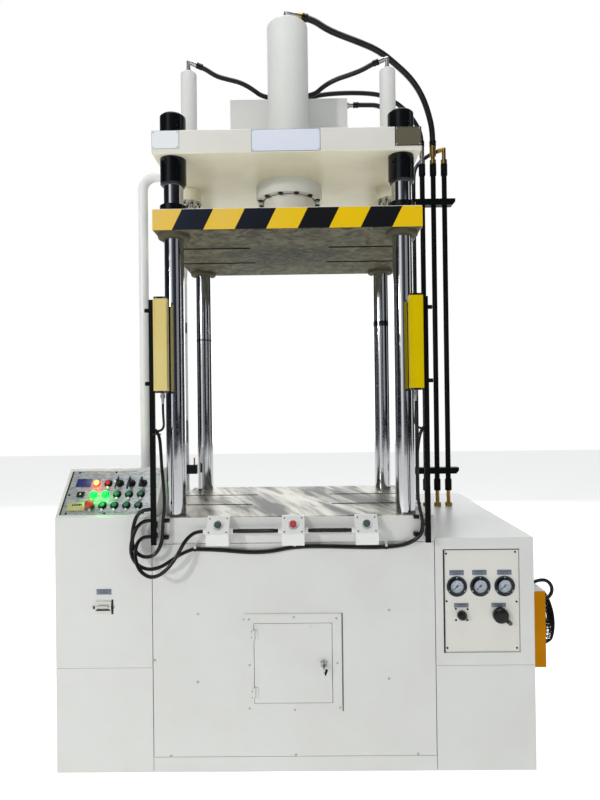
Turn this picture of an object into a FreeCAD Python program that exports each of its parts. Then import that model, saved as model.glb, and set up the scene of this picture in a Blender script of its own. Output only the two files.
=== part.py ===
import FreeCAD, Part
import math
import os

# Four-column hydraulic press with side cabinets, in millimetres.
# Origin on the floor under the main ram's axis; X to the operator's right, Y to the back, Z up.

# ---------------------------------------------------------------- driving dimensions
# Clearances
FIXED_FIT = 0.05          # radial, seated round parts
RUNNING_FIT = 0.06        # radial, round parts that slide
LOOSE = 0.3               # between small parts that move past each other
SEAM = 2.0                # visible joint between sheet-metal covers

# Crown, slider and table share one plan size and one column pattern
PLATEN_WIDTH = 1075.0
PLATEN_DEPTH = 800.0
COLUMN_RADIUS = 40.0
COLUMN_INSET_X = 71.5     # from the platens' sides
COLUMN_INSET_Y = 65.0     # from their front and back
TABLE_TOP = 1008.0
TABLE_THICKNESS = 106.0
DAYLIGHT = 1139.0
SLIDER_THICKNESS = 88.0
SLIDER_TO_CROWN = 220.0
CROWN_THICKNESS = 94.0
STROKE = 500.0
EDGE_CHAMFER = 3.0

# T-slots in the table and under the slider
SLOT_THROAT = 22.0
SLOT_THROAT_DEPTH = 18.0
SLOT_HEAD = 38.0
SLOT_HEAD_DEPTH = 16.0
SLOT_SPACING = 260.0
SLOT_LAND = 350.0         # solid width left between the slots' blind ends

# Nuts and guide bushes on the columns
CROWN_NUT_RADIUS = 52.5
CAP_NUT_HEIGHT = 85.0
UNDER_NUT_HEIGHT = 110.0
BASE_NUT_HEIGHT = 80.0
NUT_CHAMFER = 7.0
NUT_CAP_WALL = 12.0
SPANNER_HOLE_RADIUS = 4.5
SPANNER_HOLE_DEPTH = 9.0
BUSH_RADIUS = 50.0
BUSH_COLLAR_RADIUS = 56.0
BUSH_COLLAR_HEIGHT = 27.0
WIPER_RADIUS = 64.0
WIPER_HEIGHT = 17.0       # below the slider
WIPER_SEAT = 3.0          # into it

# Main cylinder and ram
CYLINDER_RADIUS = 95.0
CYLINDER_BORE_RADIUS = 75.0
CYLINDER_HEIGHT = 669.0   # above the crown
CYLINDER_CAP = 33.0
CYLINDER_FLANGE_RADIUS = 153.0
CYLINDER_FLANGE_HEIGHT = 62.0
CYLINDER_PORT_RADIUS = 10.0
GLAND_RADIUS = 120.0
GLAND_HEIGHT = 63.0
GLAND_SPIGOT = 40.0
RAM_RADIUS = 55.0
PISTON_HEIGHT = 90.0
PISTON_TOP_GAP = 45.0
RAM_FOOT_RADIUS = 100.0
RAM_FOOT_HEIGHT = 40.0

# Return cylinders, one each side of the main one
RETURN_RADIUS = 37.0
RETURN_BORE_RADIUS = 28.0
RETURN_HEIGHT = 460.0     # above the crown
RETURN_CAP = 18.0
RETURN_FLANGE_RADIUS = 55.0
RETURN_FLANGE_HEIGHT = 56.0
RETURN_GLAND = 26.0
RETURN_ROD_RADIUS = 20.0
RETURN_PISTON_HEIGHT = 40.0
RETURN_PORT_RADIUS = 6.0
RETURN_FOOT_RADIUS = 36.0
RETURN_FOOT_HEIGHT = 14.0

# Oil tank on the crown, behind the main cylinder
TANK_WIDTH = 572.0
TANK_DEPTH = 250.0
TANK_HEIGHT = 392.0
TANK_FRONT_GAP = 15.0     # from the main cylinder's barrel
TANK_WALL = 5.0

# Base frame and cabinets
LEFT_CHEEK = 14.5         # frame beside the table
RIGHT_CHEEK = 28.5
LEFT_CABINET_WIDTH = 386.0
RIGHT_CABINET_WIDTH = 390.0
BASE_BEHIND = 300.0       # behind the table
COVER_THICKNESS = 6.0
FRAME_WALL = 16.0
FRONT_RAIL_DEPTH = 12.0
FRONT_RAIL_HEIGHT = 90.0
FRAME_TOP_PLATE = 25.0
PLINTH_HEIGHT = 59.0
CABINET_WALL = 4.0
CABINET_SEAM_HEIGHT = 412.0
RIGHT_CABINET_RISE = 13.0 # over the frame's top

# Access door in the front cover
DOOR_LEFT = -150.0
DOOR_WIDTH = 307.0
DOOR_BOTTOM = 272.0
DOOR_HEIGHT = 312.0
DOOR_SHEET = 3.0
DOOR_RETURN = 12.0
DOOR_FRAME_BORDER = 38.0
HINGE_RADIUS = 5.0
HINGE_LENGTH = 38.0
HINGE_INSET = 43.0
LOCK_RADIUS = 13.0
LOCK_INSET = 34.0
LOCK_CAM_LENGTH = 46.0

# Gauge panel on the right cabinet
GAUGE_PANEL_INSET = 36.0  # from the cabinet's left side
GAUGE_PANEL_DROP = 48.0   # from its top
GAUGE_PANEL_WIDTH = 293.0
GAUGE_PANEL_HEIGHT = 402.0
GAUGE_PANEL_SHEET = 3.0
GAUGE_PANEL_GAP = 3.0
GAUGE_PANEL_LEDGE = 14.0
POCKET_DEPTH = 5.0
GAUGE_OFFSETS = (49.0, 141.0, 237.0)   # from the panel's left edge
GAUGE_RISE = 258.0        # from its lower edge
GAUGE_FLANGE_RADIUS = 40.0
GAUGE_CASE_RADIUS = 31.0
GAUGE_DIAL_RADIUS = 26.0
SMALL_KNOB_OFFSET = 67.0
VALVE_OFFSET = 218.0
VALVE_RISE = 145.0

# Breaker in the left cabinet
BREAKER_OFFSET = 191.0    # from the cabinet's left side
BREAKER_RISE = 241.0      # over its seam
BREAKER_WIDTH = 64.0
BREAKER_HEIGHT = 50.0

# Operator's console on the left cabinet
CONSOLE_OVERHANG = 12.0   # over the frame
CONSOLE_FRONT_HEIGHT = 107.0
CONSOLE_RUN = 162.0
CONSOLE_RISE = 176.0
CONSOLE_TOP_DEPTH = 60.0
CONSOLE_DEPTH = 280.0
CONSOLE_SHEET = 3.0
CONSOLE_RIM = 12.0
CONSOLE_LEDGE = 10.0
CONSOLE_PITCH_X = 48.5
CONSOLE_FIRST_OFFSET = 129.0           # first column, from the housing's left side
CONSOLE_ROWS = (162.0, 108.0, 55.0)   # up the slope from its lower edge
DEVICE_RADIUS = 14.5
DEVICE_BODY_RADIUS = 11.0
CAP_RADIUS = 9.5
BUTTON_TRAVEL = 3.0
STOP_RADIUS = 18.0

# Button boxes on the front of the table
BOX_WIDTH = 88.0
BOX_HEIGHT = 106.0
BOX_DEPTH = 62.0
BOX_TOP_DEPTH = 12.0
BOX_FRONT_HEIGHT = 44.0
BOX_SHEET = 2.5
BOX_X = (-283.0, 10.0, 296.0)
BOX_RISE_OVER_BASE = 4.0
BOX_COLLAR_RADIUS = 19.0
BOX_CAP_RADIUS = 14.0
GLAND_PLUG_RADIUS = 11.0
GLAND_PLUG_LENGTH = 14.0
CONDUIT_RISE = 51.0       # over the boxes' lower edges
CONDUIT_RADIUS = 8.5
CONDUIT_BORE_RADIUS = 6.0
CONDUIT_RIBS = 20

# Light curtains and their posts
CURTAIN_WIDTH = 52.0
CURTAIN_DEPTH = 34.0
CURTAIN_RISE = 492.0      # over the table
CURTAIN_HEIGHT = 374.0
CURTAIN_CAP = 8.0
CURTAIN_STANDOFF = 62.0   # from the table's front to the bars' faces
CURTAIN_TO_POST = 40.0
POST_INSET = 1.5
POST_WIDTH = 20.0
POST_DEPTH = 14.0
POST_STANDOFF = 38.0
BRACKET_RISES = (37.0, 324.0)          # over the bars' lower ends
PLUG_LENGTH = 42.0
PLUG_RADIUS = 7.0

# Position rail behind the left columns
RAIL_WIDTH = 22.0
RAIL_DEPTH = 16.0
RAIL_GAP = 8.0            # from the table's side
RAIL_INSET = 100.0        # from the platens' back
SWITCHES = ((820.0, 53.0), (252.0, 112.0), (89.0, 47.0))   # (height over the table, own height)
SWITCH_DEPTH = 26.0

# Risers, hoses and conduit
RISER_OFFSETS = (147.5, 204.5, 261.5)  # from the platens' right side
DROP_HOSE_OFFSET = 102.5
RISER_INSET = 105.0       # from the platens' back
RISER_RADIUS = 13.0
RISER_COLLAR_RADIUS = 17.0
RISER_FOOT_GAP = 81.0     # over the right cabinet
RISER_HEAD = 138.0        # over the crown
RISER_COLLAR = 58.0
UPPER_CLAMP_RISE = 15.0   # over the crown's underside
LOWER_CLAMP_RISE = 87.0   # over the risers' lower ends
CLAMP_HEIGHT = 32.0
CLAMP_DEPTH = 44.0
CLAMP_REACH = 312.5       # from the platens' right side
CONDUIT_RISER_RADIUS = 21.5
CONDUIT_RISER_WALL = 2.5
CONDUIT_RISER_OFFSET = 134.5           # from the platens' left side
CONDUIT_RISER_Y = -50.0
CONDUIT_RISER_BEND = 62.0
MAIN_HOSE = 29.0
RETURN_HOSE = 22.0
DROP_HOSE = 20.0
CABLE = 12.0
LEAD = 7.0

# Oil cooler on the right cabinet's side
COOLER_WIDTH = 136.0
COOLER_FRONT = -180.0
COOLER_DEPTH = 330.0
COOLER_BASE = 300.0
COOLER_HEIGHT = 328.0
COOLER_WALL = 4.0
FAN_OPENING_RADIUS = 128.0
FAN_RADIUS = 118.0
FAN_HUB_RADIUS = 30.0
FAN_BLADES = 6
MOTOR_RADIUS = 36.0
GUARD_RADIUS = 134.0
GUARD_INNER_RADIUS = 26.0
GUARD_HEIGHT = 64.0
GUARD_SHOULDER = 4.0      # how fast the basket rises behind its rim
GUARD_RINGS = 7
GUARD_SPOKES = 8
GUARD_WIRE = 4.0

# ---------------------------------------------------------------- derived places
TABLE_BASE = TABLE_TOP - TABLE_THICKNESS
SLIDER_BASE = TABLE_TOP + DAYLIGHT
SLIDER_TOP = SLIDER_BASE + SLIDER_THICKNESS
CROWN_BASE = SLIDER_TOP + SLIDER_TO_CROWN
CROWN_TOP = CROWN_BASE + CROWN_THICKNESS
HALF_WIDTH = PLATEN_WIDTH / 2
HALF_DEPTH = PLATEN_DEPTH / 2
FRONT = -HALF_DEPTH
COLUMN_SPACING_X = PLATEN_WIDTH - 2 * COLUMN_INSET_X
COLUMN_SPACING_Y = PLATEN_DEPTH - 2 * COLUMN_INSET_Y
RETURN_OFFSET = COLUMN_SPACING_X / 2
FRAME_LEFT = -HALF_WIDTH - LEFT_CHEEK
FRAME_RIGHT = HALF_WIDTH + RIGHT_CHEEK
BASE_LEFT = FRAME_LEFT - LEFT_CABINET_WIDTH
BASE_RIGHT = FRAME_RIGHT + RIGHT_CABINET_WIDTH
BASE_BACK = HALF_DEPTH + BASE_BEHIND
RIGHT_CABINET_TOP = TABLE_BASE + RIGHT_CABINET_RISE
FRAME_FRONT = FRONT + COVER_THICKNESS
CYLINDER_TOP = CROWN_TOP + CYLINDER_HEIGHT
FLANGE_BASE = CROWN_BASE - CYLINDER_FLANGE_HEIGHT
RETURN_TOP = CROWN_TOP + RETURN_HEIGHT
TANK_FRONT = CYLINDER_RADIUS + TANK_FRONT_GAP
TANK_TOP = CROWN_TOP + TANK_HEIGHT
COLUMN_CENTRES = [
    (x * COLUMN_SPACING_X / 2, y * COLUMN_SPACING_Y / 2)
    for x in (-1, 1)
    for y in (-1, 1)
]
DOOR_FACE = FRONT - DOOR_SHEET
GAUGE_PANEL_LEFT = FRAME_RIGHT + SEAM + GAUGE_PANEL_INSET
GAUGE_PANEL_BOTTOM = RIGHT_CABINET_TOP - GAUGE_PANEL_DROP - GAUGE_PANEL_HEIGHT
GAUGE_X = [GAUGE_PANEL_LEFT + offset for offset in GAUGE_OFFSETS]
GAUGE_Z = GAUGE_PANEL_BOTTOM + GAUGE_RISE
SMALL_KNOB_X = GAUGE_PANEL_LEFT + SMALL_KNOB_OFFSET
VALVE_X = GAUGE_PANEL_LEFT + VALVE_OFFSET
VALVE_Z = GAUGE_PANEL_BOTTOM + VALVE_RISE
BREAKER_X = BASE_LEFT + BREAKER_OFFSET
BREAKER_Z = CABINET_SEAM_HEIGHT + BREAKER_RISE
CONSOLE_RIGHT = FRAME_LEFT + CONSOLE_OVERHANG
CONSOLE_LIP = TABLE_BASE + CONSOLE_FRONT_HEIGHT     # lower edge of the sloped face
CONSOLE_BACK = FRONT + CONSOLE_DEPTH
CONSOLE_FIRST_X = BASE_LEFT + CONSOLE_FIRST_OFFSET
CONSOLE_SLOPE = math.degrees(math.atan2(CONSOLE_RISE, CONSOLE_RUN))
CONSOLE_FACE = math.hypot(CONSOLE_RUN, CONSOLE_RISE)
BOX_BASE = TABLE_BASE + BOX_RISE_OVER_BASE
BOX_RUN = BOX_DEPTH - BOX_TOP_DEPTH
BOX_RISE = BOX_HEIGHT - BOX_FRONT_HEIGHT
BOX_SLOPE = math.degrees(math.atan2(BOX_RISE, BOX_RUN))
BOX_FACE = math.hypot(BOX_RUN, BOX_RISE)
CONDUIT_Z = BOX_BASE + CONDUIT_RISE
POST_X = HALF_WIDTH - POST_INSET
POST_FRONT = FRONT - POST_STANDOFF
POST_MIDDLE_Y = POST_FRONT + POST_DEPTH / 2
POST_BASE = BOX_BASE
CURTAIN_X = POST_X - CURTAIN_TO_POST
CURTAIN_FRONT = FRONT - CURTAIN_STANDOFF
CURTAIN_BASE = TABLE_TOP + CURTAIN_RISE
POST_TOP = CURTAIN_BASE + CURTAIN_HEIGHT - CURTAIN_CAP
BRACKET_Z = [CURTAIN_BASE + rise for rise in BRACKET_RISES]
RAIL_Y = HALF_DEPTH - RAIL_INSET
RISER_X = [HALF_WIDTH + offset for offset in RISER_OFFSETS]
RISER_Y = HALF_DEPTH - RISER_INSET
DROP_HOSE_X = HALF_WIDTH + DROP_HOSE_OFFSET
RISER_FOOT = RIGHT_CABINET_TOP + RISER_FOOT_GAP
RISER_TOP = CROWN_TOP + RISER_HEAD
CLAMP_Z = (CROWN_BASE + UPPER_CLAMP_RISE, RISER_FOOT + LOWER_CLAMP_RISE)
CLAMP_RIGHT = HALF_WIDTH + CLAMP_REACH
CLAMP_Y = RISER_Y - CLAMP_DEPTH / 2
CONDUIT_RISER_X = -HALF_WIDTH - CONDUIT_RISER_OFFSET
ORIGIN = FreeCAD.Vector(0, 0, 0)
UP = FreeCAD.Vector(0, 0, 1)


# ---------------------------------------------------------------- shape helpers
def vector(x, y, z):
    return FreeCAD.Vector(x, y, z)


def block(x1, x2, y1, y2, z1, z2):
    """Box between two corners."""
    return Part.makeBox(x2 - x1, y2 - y1, z2 - z1, vector(x1, y1, z1))


def drum(radius, x, y, z1, z2):
    """Upright cylinder."""
    return Part.makeCylinder(radius, z2 - z1, vector(x, y, z1))


def turned(profile, x=0.0, y=0.0):
    """Solid turned about an upright axis at x, y; the profile holds (radius, height) corners."""
    corners = [vector(x + r, y, z) for r, z in profile]
    face = Part.Face(Part.makePolygon(corners + corners[:1]))
    return face.revolve(vector(x, y, 0), UP, 360)


def extruded(outline, x1, x2):
    """Prism along X from (y, z) corners."""
    corners = [vector(x1, y, z) for y, z in outline]
    face = Part.Face(Part.makePolygon(corners + corners[:1]))
    return face.extrude(vector(x2 - x1, 0, 0))


def tilted(shape, degrees, x, y, z):
    """Carry a shape built flat, facing up, to a face that slopes or stands at x, y, z."""
    placed = shape.copy()
    placed.rotate(ORIGIN, vector(1, 0, 0), degrees)
    placed.translate(vector(x, y, z))
    return placed


def group(solids):
    """Several separate solids in one part file."""
    return solids[0] if len(solids) == 1 else Part.makeCompound(solids)


def unit(a, b):
    step = b.sub(a)
    return step.multiply(1.0 / step.Length)


def tube(name, points, diameter):
    """Hose or cable: straight runs joined by tangent arcs, as large as the runs allow."""
    places = [vector(*p) for p in points]
    edges = []
    radii = []
    here = places[0]
    for before, corner, after in zip(places, places[1:], places[2:]):
        way_in = unit(before, corner)
        way_out = unit(corner, after)
        shorter = min(before.distanceToPoint(corner), corner.distanceToPoint(after))
        half_turn = way_in.getAngle(way_out) / 2
        setback = 0.45 * shorter
        radius = setback / math.tan(half_turn)
        inward = unit(way_in, way_out)
        arc_start = corner.sub(way_in * setback)
        arc_end = corner.add(way_out * setback)
        arc_middle = corner.add(inward * (radius / math.cos(half_turn) - radius))
        edges.append(Part.LineSegment(here, arc_start).toShape())
        edges.append(Part.Arc(arc_start, arc_middle, arc_end).toShape())
        radii.append(radius)
        here = arc_end
    edges.append(Part.LineSegment(here, places[-1]).toShape())
    path = Part.Wire(edges)
    section = Part.makeCircle(diameter / 2, places[0], unit(places[0], places[1]))
    solid = path.makePipeShell([Part.Wire([section])], True, False)
    expected = math.pi * (diameter / 2) ** 2 * path.Length
    print("cord %s: length %.0f mm, least radius %.0f mm, radii %s, volume ratio %.4f" % (
        name, path.Length, min(radii), [round(r) for r in radii], solid.Volume / expected))
    return solid


def column_holes(radius, z1, z2):
    return [drum(radius, x, y, z1, z2) for x, y in COLUMN_CENTRES]


# ---------------------------------------------------------------- base, table and cabinets
def door_opening(margin, y1, y2):
    """The door's outline grown by a margin, through the given depth."""
    return block(DOOR_LEFT - margin, DOOR_LEFT + DOOR_WIDTH + margin, y1, y2,
                 DOOR_BOTTOM - margin, DOOR_BOTTOM + DOOR_HEIGHT + margin)


def base_frame():
    """Frame welded from plates, open at the front: floor, side walls, back, plinth, front rail and a thick top."""
    inner_left, inner_right = FRAME_LEFT + FRAME_WALL, FRAME_RIGHT - FRAME_WALL
    top_base = TABLE_BASE - FRAME_TOP_PLATE
    rail_back = FRAME_FRONT + FRONT_RAIL_DEPTH
    top = block(FRAME_LEFT, FRAME_RIGHT, FRAME_FRONT, BASE_BACK, top_base, TABLE_BASE)
    return group([
        top.cut(column_holes(COLUMN_RADIUS + FIXED_FIT, top_base, TABLE_BASE)),
        block(FRAME_LEFT, inner_left, FRAME_FRONT, BASE_BACK, 0, top_base),
        block(inner_right, FRAME_RIGHT, FRAME_FRONT, BASE_BACK, 0, top_base),
        block(inner_left, inner_right, BASE_BACK - FRAME_WALL, BASE_BACK, 0, top_base),
        block(inner_left, inner_right, FRAME_FRONT, BASE_BACK - FRAME_WALL, 0, FRAME_WALL),
        block(inner_left, inner_right, FRAME_FRONT, rail_back, FRAME_WALL, FRONT_RAIL_HEIGHT),
        block(FRAME_LEFT, FRAME_RIGHT, FRONT, FRAME_FRONT, 0, PLINTH_HEIGHT)])


def table_cheeks():
    """Side plates beside the table, notched where its T-slots run out; the console stands at the left's front."""
    top = TABLE_TOP - EDGE_CHAMFER
    left = block(FRAME_LEFT, -HALF_WIDTH, CONSOLE_BACK + SEAM, HALF_DEPTH, TABLE_BASE, top)
    right = block(HALF_WIDTH, FRAME_RIGHT, FRONT, HALF_DEPTH, TABLE_BASE, top)
    notches = [block(FRAME_LEFT, FRAME_RIGHT, y - SLOT_HEAD / 2, y + SLOT_HEAD / 2,
                     TABLE_TOP - SLOT_THROAT_DEPTH - SLOT_HEAD_DEPTH, TABLE_TOP)
               for y in (-SLOT_SPACING / 2, SLOT_SPACING / 2)]
    return group([left.cut(notches), right.cut(notches)])


def t_slots(face_z, inward):
    """Blind T-slots from both sides; inward is -1 below a top face and +1 above a bottom face."""
    neck_end = face_z + inward * SLOT_THROAT_DEPTH
    head_end = neck_end + inward * SLOT_HEAD_DEPTH
    cuts = []
    for side in (-1, 1):
        x1, x2 = sorted((side * SLOT_LAND / 2, side * HALF_WIDTH))
        for y in (-SLOT_SPACING / 2, SLOT_SPACING / 2):
            cuts.append(block(x1, x2, y - SLOT_THROAT / 2, y + SLOT_THROAT / 2,
                              *sorted((face_z, neck_end))))
            cuts.append(block(x1, x2, y - SLOT_HEAD / 2, y + SLOT_HEAD / 2,
                              *sorted((neck_end, head_end))))
    return cuts


def platen(z1, z2):
    """Plate of the common plan size with broken outer edges."""
    plate = block(-HALF_WIDTH, HALF_WIDTH, -HALF_DEPTH, HALF_DEPTH, z1, z2)
    rims = [e for e in plate.Edges if abs(e.Vertexes[0].Z - e.Vertexes[1].Z) < 0.001]
    return plate.makeChamfer(EDGE_CHAMFER, rims)


def table():
    plate = platen(TABLE_BASE, TABLE_TOP)
    holes = column_holes(COLUMN_RADIUS + FIXED_FIT, TABLE_BASE, TABLE_TOP)
    return plate.cut(holes + t_slots(TABLE_TOP, -1))


def front_cover():
    """Screwed sheet over the frame, with the door's bezel frame on it as a second piece."""
    sheet = block(FRAME_LEFT + SEAM / 2, FRAME_RIGHT - SEAM / 2, FRONT, FRAME_FRONT,
                  PLINTH_HEIGHT + SEAM, TABLE_BASE - SEAM)
    sheet = sheet.cut(door_opening(LOOSE + SEAM, FRONT, FRAME_FRONT))
    bezel = door_opening(DOOR_FRAME_BORDER, DOOR_FACE, FRONT)
    bezel = bezel.cut(door_opening(SEAM, DOOR_FACE, FRONT))
    return group([sheet, bezel])


def cabinet_shell(x1, x2, top):
    """Closed sheet-metal housing with the seam between its upper and lower covers."""
    shell = block(x1, x2, FRONT, BASE_BACK, 0, top)
    space = block(x1 + CABINET_WALL, x2 - CABINET_WALL, FRONT + CABINET_WALL + POCKET_DEPTH,
                  BASE_BACK - CABINET_WALL, CABINET_WALL, top - CABINET_WALL)
    seam = block(x1, x2, FRONT, FRONT + SEAM, CABINET_SEAM_HEIGHT, CABINET_SEAM_HEIGHT + SEAM)
    return shell.cut([space, seam])


def left_cabinet():
    shell = cabinet_shell(BASE_LEFT, FRAME_LEFT - SEAM, TABLE_BASE)
    window = block(BREAKER_X - BREAKER_WIDTH / 2, BREAKER_X + BREAKER_WIDTH / 2,
                   FRONT, FRONT + CABINET_WALL + POCKET_DEPTH,
                   BREAKER_Z - BREAKER_HEIGHT / 2, BREAKER_Z + BREAKER_HEIGHT / 2)
    return shell.cut(window)


def gauge_panel_field(margin, y1, y2):
    return block(GAUGE_PANEL_LEFT - margin, GAUGE_PANEL_LEFT + GAUGE_PANEL_WIDTH + margin, y1, y2,
                 GAUGE_PANEL_BOTTOM - margin, GAUGE_PANEL_BOTTOM + GAUGE_PANEL_HEIGHT + margin)


def right_cabinet():
    shell = cabinet_shell(FRAME_RIGHT + SEAM, BASE_RIGHT, RIGHT_CABINET_TOP)
    pocket = gauge_panel_field(GAUGE_PANEL_GAP, FRONT, FRONT + POCKET_DEPTH)
    window = gauge_panel_field(-GAUGE_PANEL_LEDGE, FRONT, FRONT + POCKET_DEPTH + CABINET_WALL)
    return shell.cut([pocket, window])


def gauge_panel():
    back = FRONT + POCKET_DEPTH
    sheet = gauge_panel_field(0, back - GAUGE_PANEL_SHEET, back)
    for x in GAUGE_X:
        sheet = sheet.cut(tilted(drum(GAUGE_CASE_RADIUS + LOOSE, 0, 0, -20, 20), 90, x, back, GAUGE_Z))
    for x in (SMALL_KNOB_X, VALVE_X):
        sheet = sheet.cut(tilted(drum(DEVICE_BODY_RADIUS + RUNNING_FIT, 0, 0, -20, 20), 90, x, back, VALVE_Z))
    return sheet


# ---------------------------------------------------------------- columns, crown, cylinders
def columns():
    """Four tie columns, threaded at both ends into the nuts."""
    foot = TABLE_BASE - FRAME_TOP_PLATE - BASE_NUT_HEIGHT - NUT_CAP_WALL
    head = CROWN_TOP + CAP_NUT_HEIGHT - NUT_CAP_WALL
    bevel = EDGE_CHAMFER
    profile = [(0, foot), (COLUMN_RADIUS - bevel, foot), (COLUMN_RADIUS, foot + bevel),
               (COLUMN_RADIUS, head - bevel), (COLUMN_RADIUS - bevel, head), (0, head)]
    return group([turned(profile, x, y) for x, y in COLUMN_CENTRES])


def column_nuts():
    """Cap nuts on the crown, spanner nuts under it and plain nuts under the table."""
    bore = COLUMN_RADIUS + FIXED_FIT
    outer = CROWN_NUT_RADIUS
    cap_top = CROWN_TOP + CAP_NUT_HEIGHT
    cap_floor = cap_top - NUT_CAP_WALL + FIXED_FIT
    cap = [(bore, CROWN_TOP), (outer, CROWN_TOP), (outer, cap_top - NUT_CHAMFER),
           (outer - NUT_CHAMFER, cap_top), (0, cap_top), (0, cap_floor), (bore, cap_floor)]
    low = CROWN_BASE - UNDER_NUT_HEIGHT
    under = [(bore, low), (outer - NUT_CHAMFER, low), (outer, low + NUT_CHAMFER),
             (outer, CROWN_BASE), (bore, CROWN_BASE)]
    base_top = TABLE_BASE - FRAME_TOP_PLATE
    base = [(bore, base_top - BASE_NUT_HEIGHT), (outer, base_top - BASE_NUT_HEIGHT),
            (outer, base_top), (bore, base_top)]
    nuts = []
    for x, y in COLUMN_CENTRES:
        nuts.append(turned(cap, x, y))
        nut = turned(under, x, y)
        hole_z = CROWN_BASE - UNDER_NUT_HEIGHT / 3
        for turn in (45, 135, 225, 315):
            way = vector(math.cos(math.radians(turn)), math.sin(math.radians(turn)), 0)
            start = vector(x, y, hole_z).add(way * (outer - SPANNER_HOLE_DEPTH))
            nut = nut.cut(Part.makeCylinder(SPANNER_HOLE_RADIUS, SPANNER_HOLE_DEPTH * 2, start, way))
        nuts.append(nut)
        nuts.append(turned(base, x, y))
    return group(nuts)


def crown():
    plate = platen(CROWN_BASE, CROWN_TOP)
    holes = column_holes(COLUMN_RADIUS + FIXED_FIT, CROWN_BASE, CROWN_TOP)
    holes.append(drum(CYLINDER_RADIUS + FIXED_FIT, 0, 0, CROWN_BASE, CROWN_TOP))
    for side in (-1, 1):
        holes.append(drum(RETURN_RADIUS + FIXED_FIT, side * RETURN_OFFSET, 0, CROWN_BASE, CROWN_TOP))
    return plate.cut(holes)


def main_cylinder():
    """Barrel through the crown, its flange bearing on the crown's underside."""
    roof = CYLINDER_TOP - CYLINDER_CAP
    bevel = 3 * EDGE_CHAMFER
    return turned([
        (CYLINDER_BORE_RADIUS, FLANGE_BASE), (CYLINDER_FLANGE_RADIUS, FLANGE_BASE),
        (CYLINDER_FLANGE_RADIUS, CROWN_BASE), (CYLINDER_RADIUS, CROWN_BASE),
        (CYLINDER_RADIUS, CYLINDER_TOP - bevel), (CYLINDER_RADIUS - bevel, CYLINDER_TOP),
        (CYLINDER_PORT_RADIUS, CYLINDER_TOP), (CYLINDER_PORT_RADIUS, roof),
        (CYLINDER_BORE_RADIUS, roof)])


def cylinder_gland():
    """Packing gland under the flange, with its spigot up the bore."""
    bore = RAM_RADIUS + RUNNING_FIT
    low = FLANGE_BASE - GLAND_HEIGHT
    spigot = CYLINDER_BORE_RADIUS - FIXED_FIT
    return turned([
        (bore, low), (GLAND_RADIUS - EDGE_CHAMFER, low), (GLAND_RADIUS, low + EDGE_CHAMFER),
        (GLAND_RADIUS, FLANGE_BASE), (spigot, FLANGE_BASE), (spigot, FLANGE_BASE + GLAND_SPIGOT),
        (bore, FLANGE_BASE + GLAND_SPIGOT)])


def ram():
    """Main ram with its piston above and its bolted foot on the slider."""
    piston_top = CYLINDER_TOP - CYLINDER_CAP - PISTON_TOP_GAP
    piston = CYLINDER_BORE_RADIUS - RUNNING_FIT
    foot_top = SLIDER_TOP + RAM_FOOT_HEIGHT
    return turned([
        (0, SLIDER_TOP), (RAM_FOOT_RADIUS, SLIDER_TOP), (RAM_FOOT_RADIUS, foot_top),
        (RAM_RADIUS, foot_top), (RAM_RADIUS, piston_top - PISTON_HEIGHT),
        (piston, piston_top - PISTON_HEIGHT), (piston, piston_top), (0, piston_top)])


def return_cylinders():
    low = CROWN_BASE - RETURN_FLANGE_HEIGHT
    rod = RETURN_ROD_RADIUS + RUNNING_FIT
    roof = RETURN_TOP - RETURN_CAP
    bevel = 2 * EDGE_CHAMFER
    profile = [
        (rod, low), (RETURN_FLANGE_RADIUS, low), (RETURN_FLANGE_RADIUS, CROWN_BASE),
        (RETURN_RADIUS, CROWN_BASE), (RETURN_RADIUS, RETURN_TOP - bevel),
        (RETURN_RADIUS - bevel, RETURN_TOP), (RETURN_PORT_RADIUS, RETURN_TOP),
        (RETURN_PORT_RADIUS, roof), (RETURN_BORE_RADIUS, roof),
        (RETURN_BORE_RADIUS, low + RETURN_GLAND), (rod, low + RETURN_GLAND)]
    return group([turned(profile, side * RETURN_OFFSET) for side in (-1, 1)])


def return_rods():
    piston_top = RETURN_TOP - RETURN_CAP - RETURN_GLAND
    piston = RETURN_BORE_RADIUS - RUNNING_FIT
    foot_top = SLIDER_TOP + RETURN_FOOT_HEIGHT
    profile = [
        (0, SLIDER_TOP), (RETURN_FOOT_RADIUS, SLIDER_TOP), (RETURN_FOOT_RADIUS, foot_top),
        (RETURN_ROD_RADIUS, foot_top), (RETURN_ROD_RADIUS, piston_top - RETURN_PISTON_HEIGHT),
        (piston, piston_top - RETURN_PISTON_HEIGHT), (piston, piston_top), (0, piston_top)]
    return group([turned(profile, side * RETURN_OFFSET) for side in (-1, 1)])


def oil_tank():
    """Welded tank standing on the crown."""
    half = TANK_WIDTH / 2
    back = TANK_FRONT + TANK_DEPTH
    wall = TANK_WALL
    tank = block(-half, half, TANK_FRONT, back, CROWN_TOP, TANK_TOP)
    space = block(-half + wall, half - wall, TANK_FRONT + wall, back - wall,
                  CROWN_TOP + wall, TANK_TOP - wall)
    return tank.cut(space)


# ---------------------------------------------------------------- slider
def slider():
    plate = platen(SLIDER_BASE, SLIDER_TOP)
    holes = column_holes(BUSH_RADIUS + FIXED_FIT, SLIDER_BASE, SLIDER_TOP)
    holes += column_holes(WIPER_RADIUS + FIXED_FIT, SLIDER_BASE, SLIDER_BASE + WIPER_SEAT)
    return plate.cut(holes + t_slots(SLIDER_BASE, 1))


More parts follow.
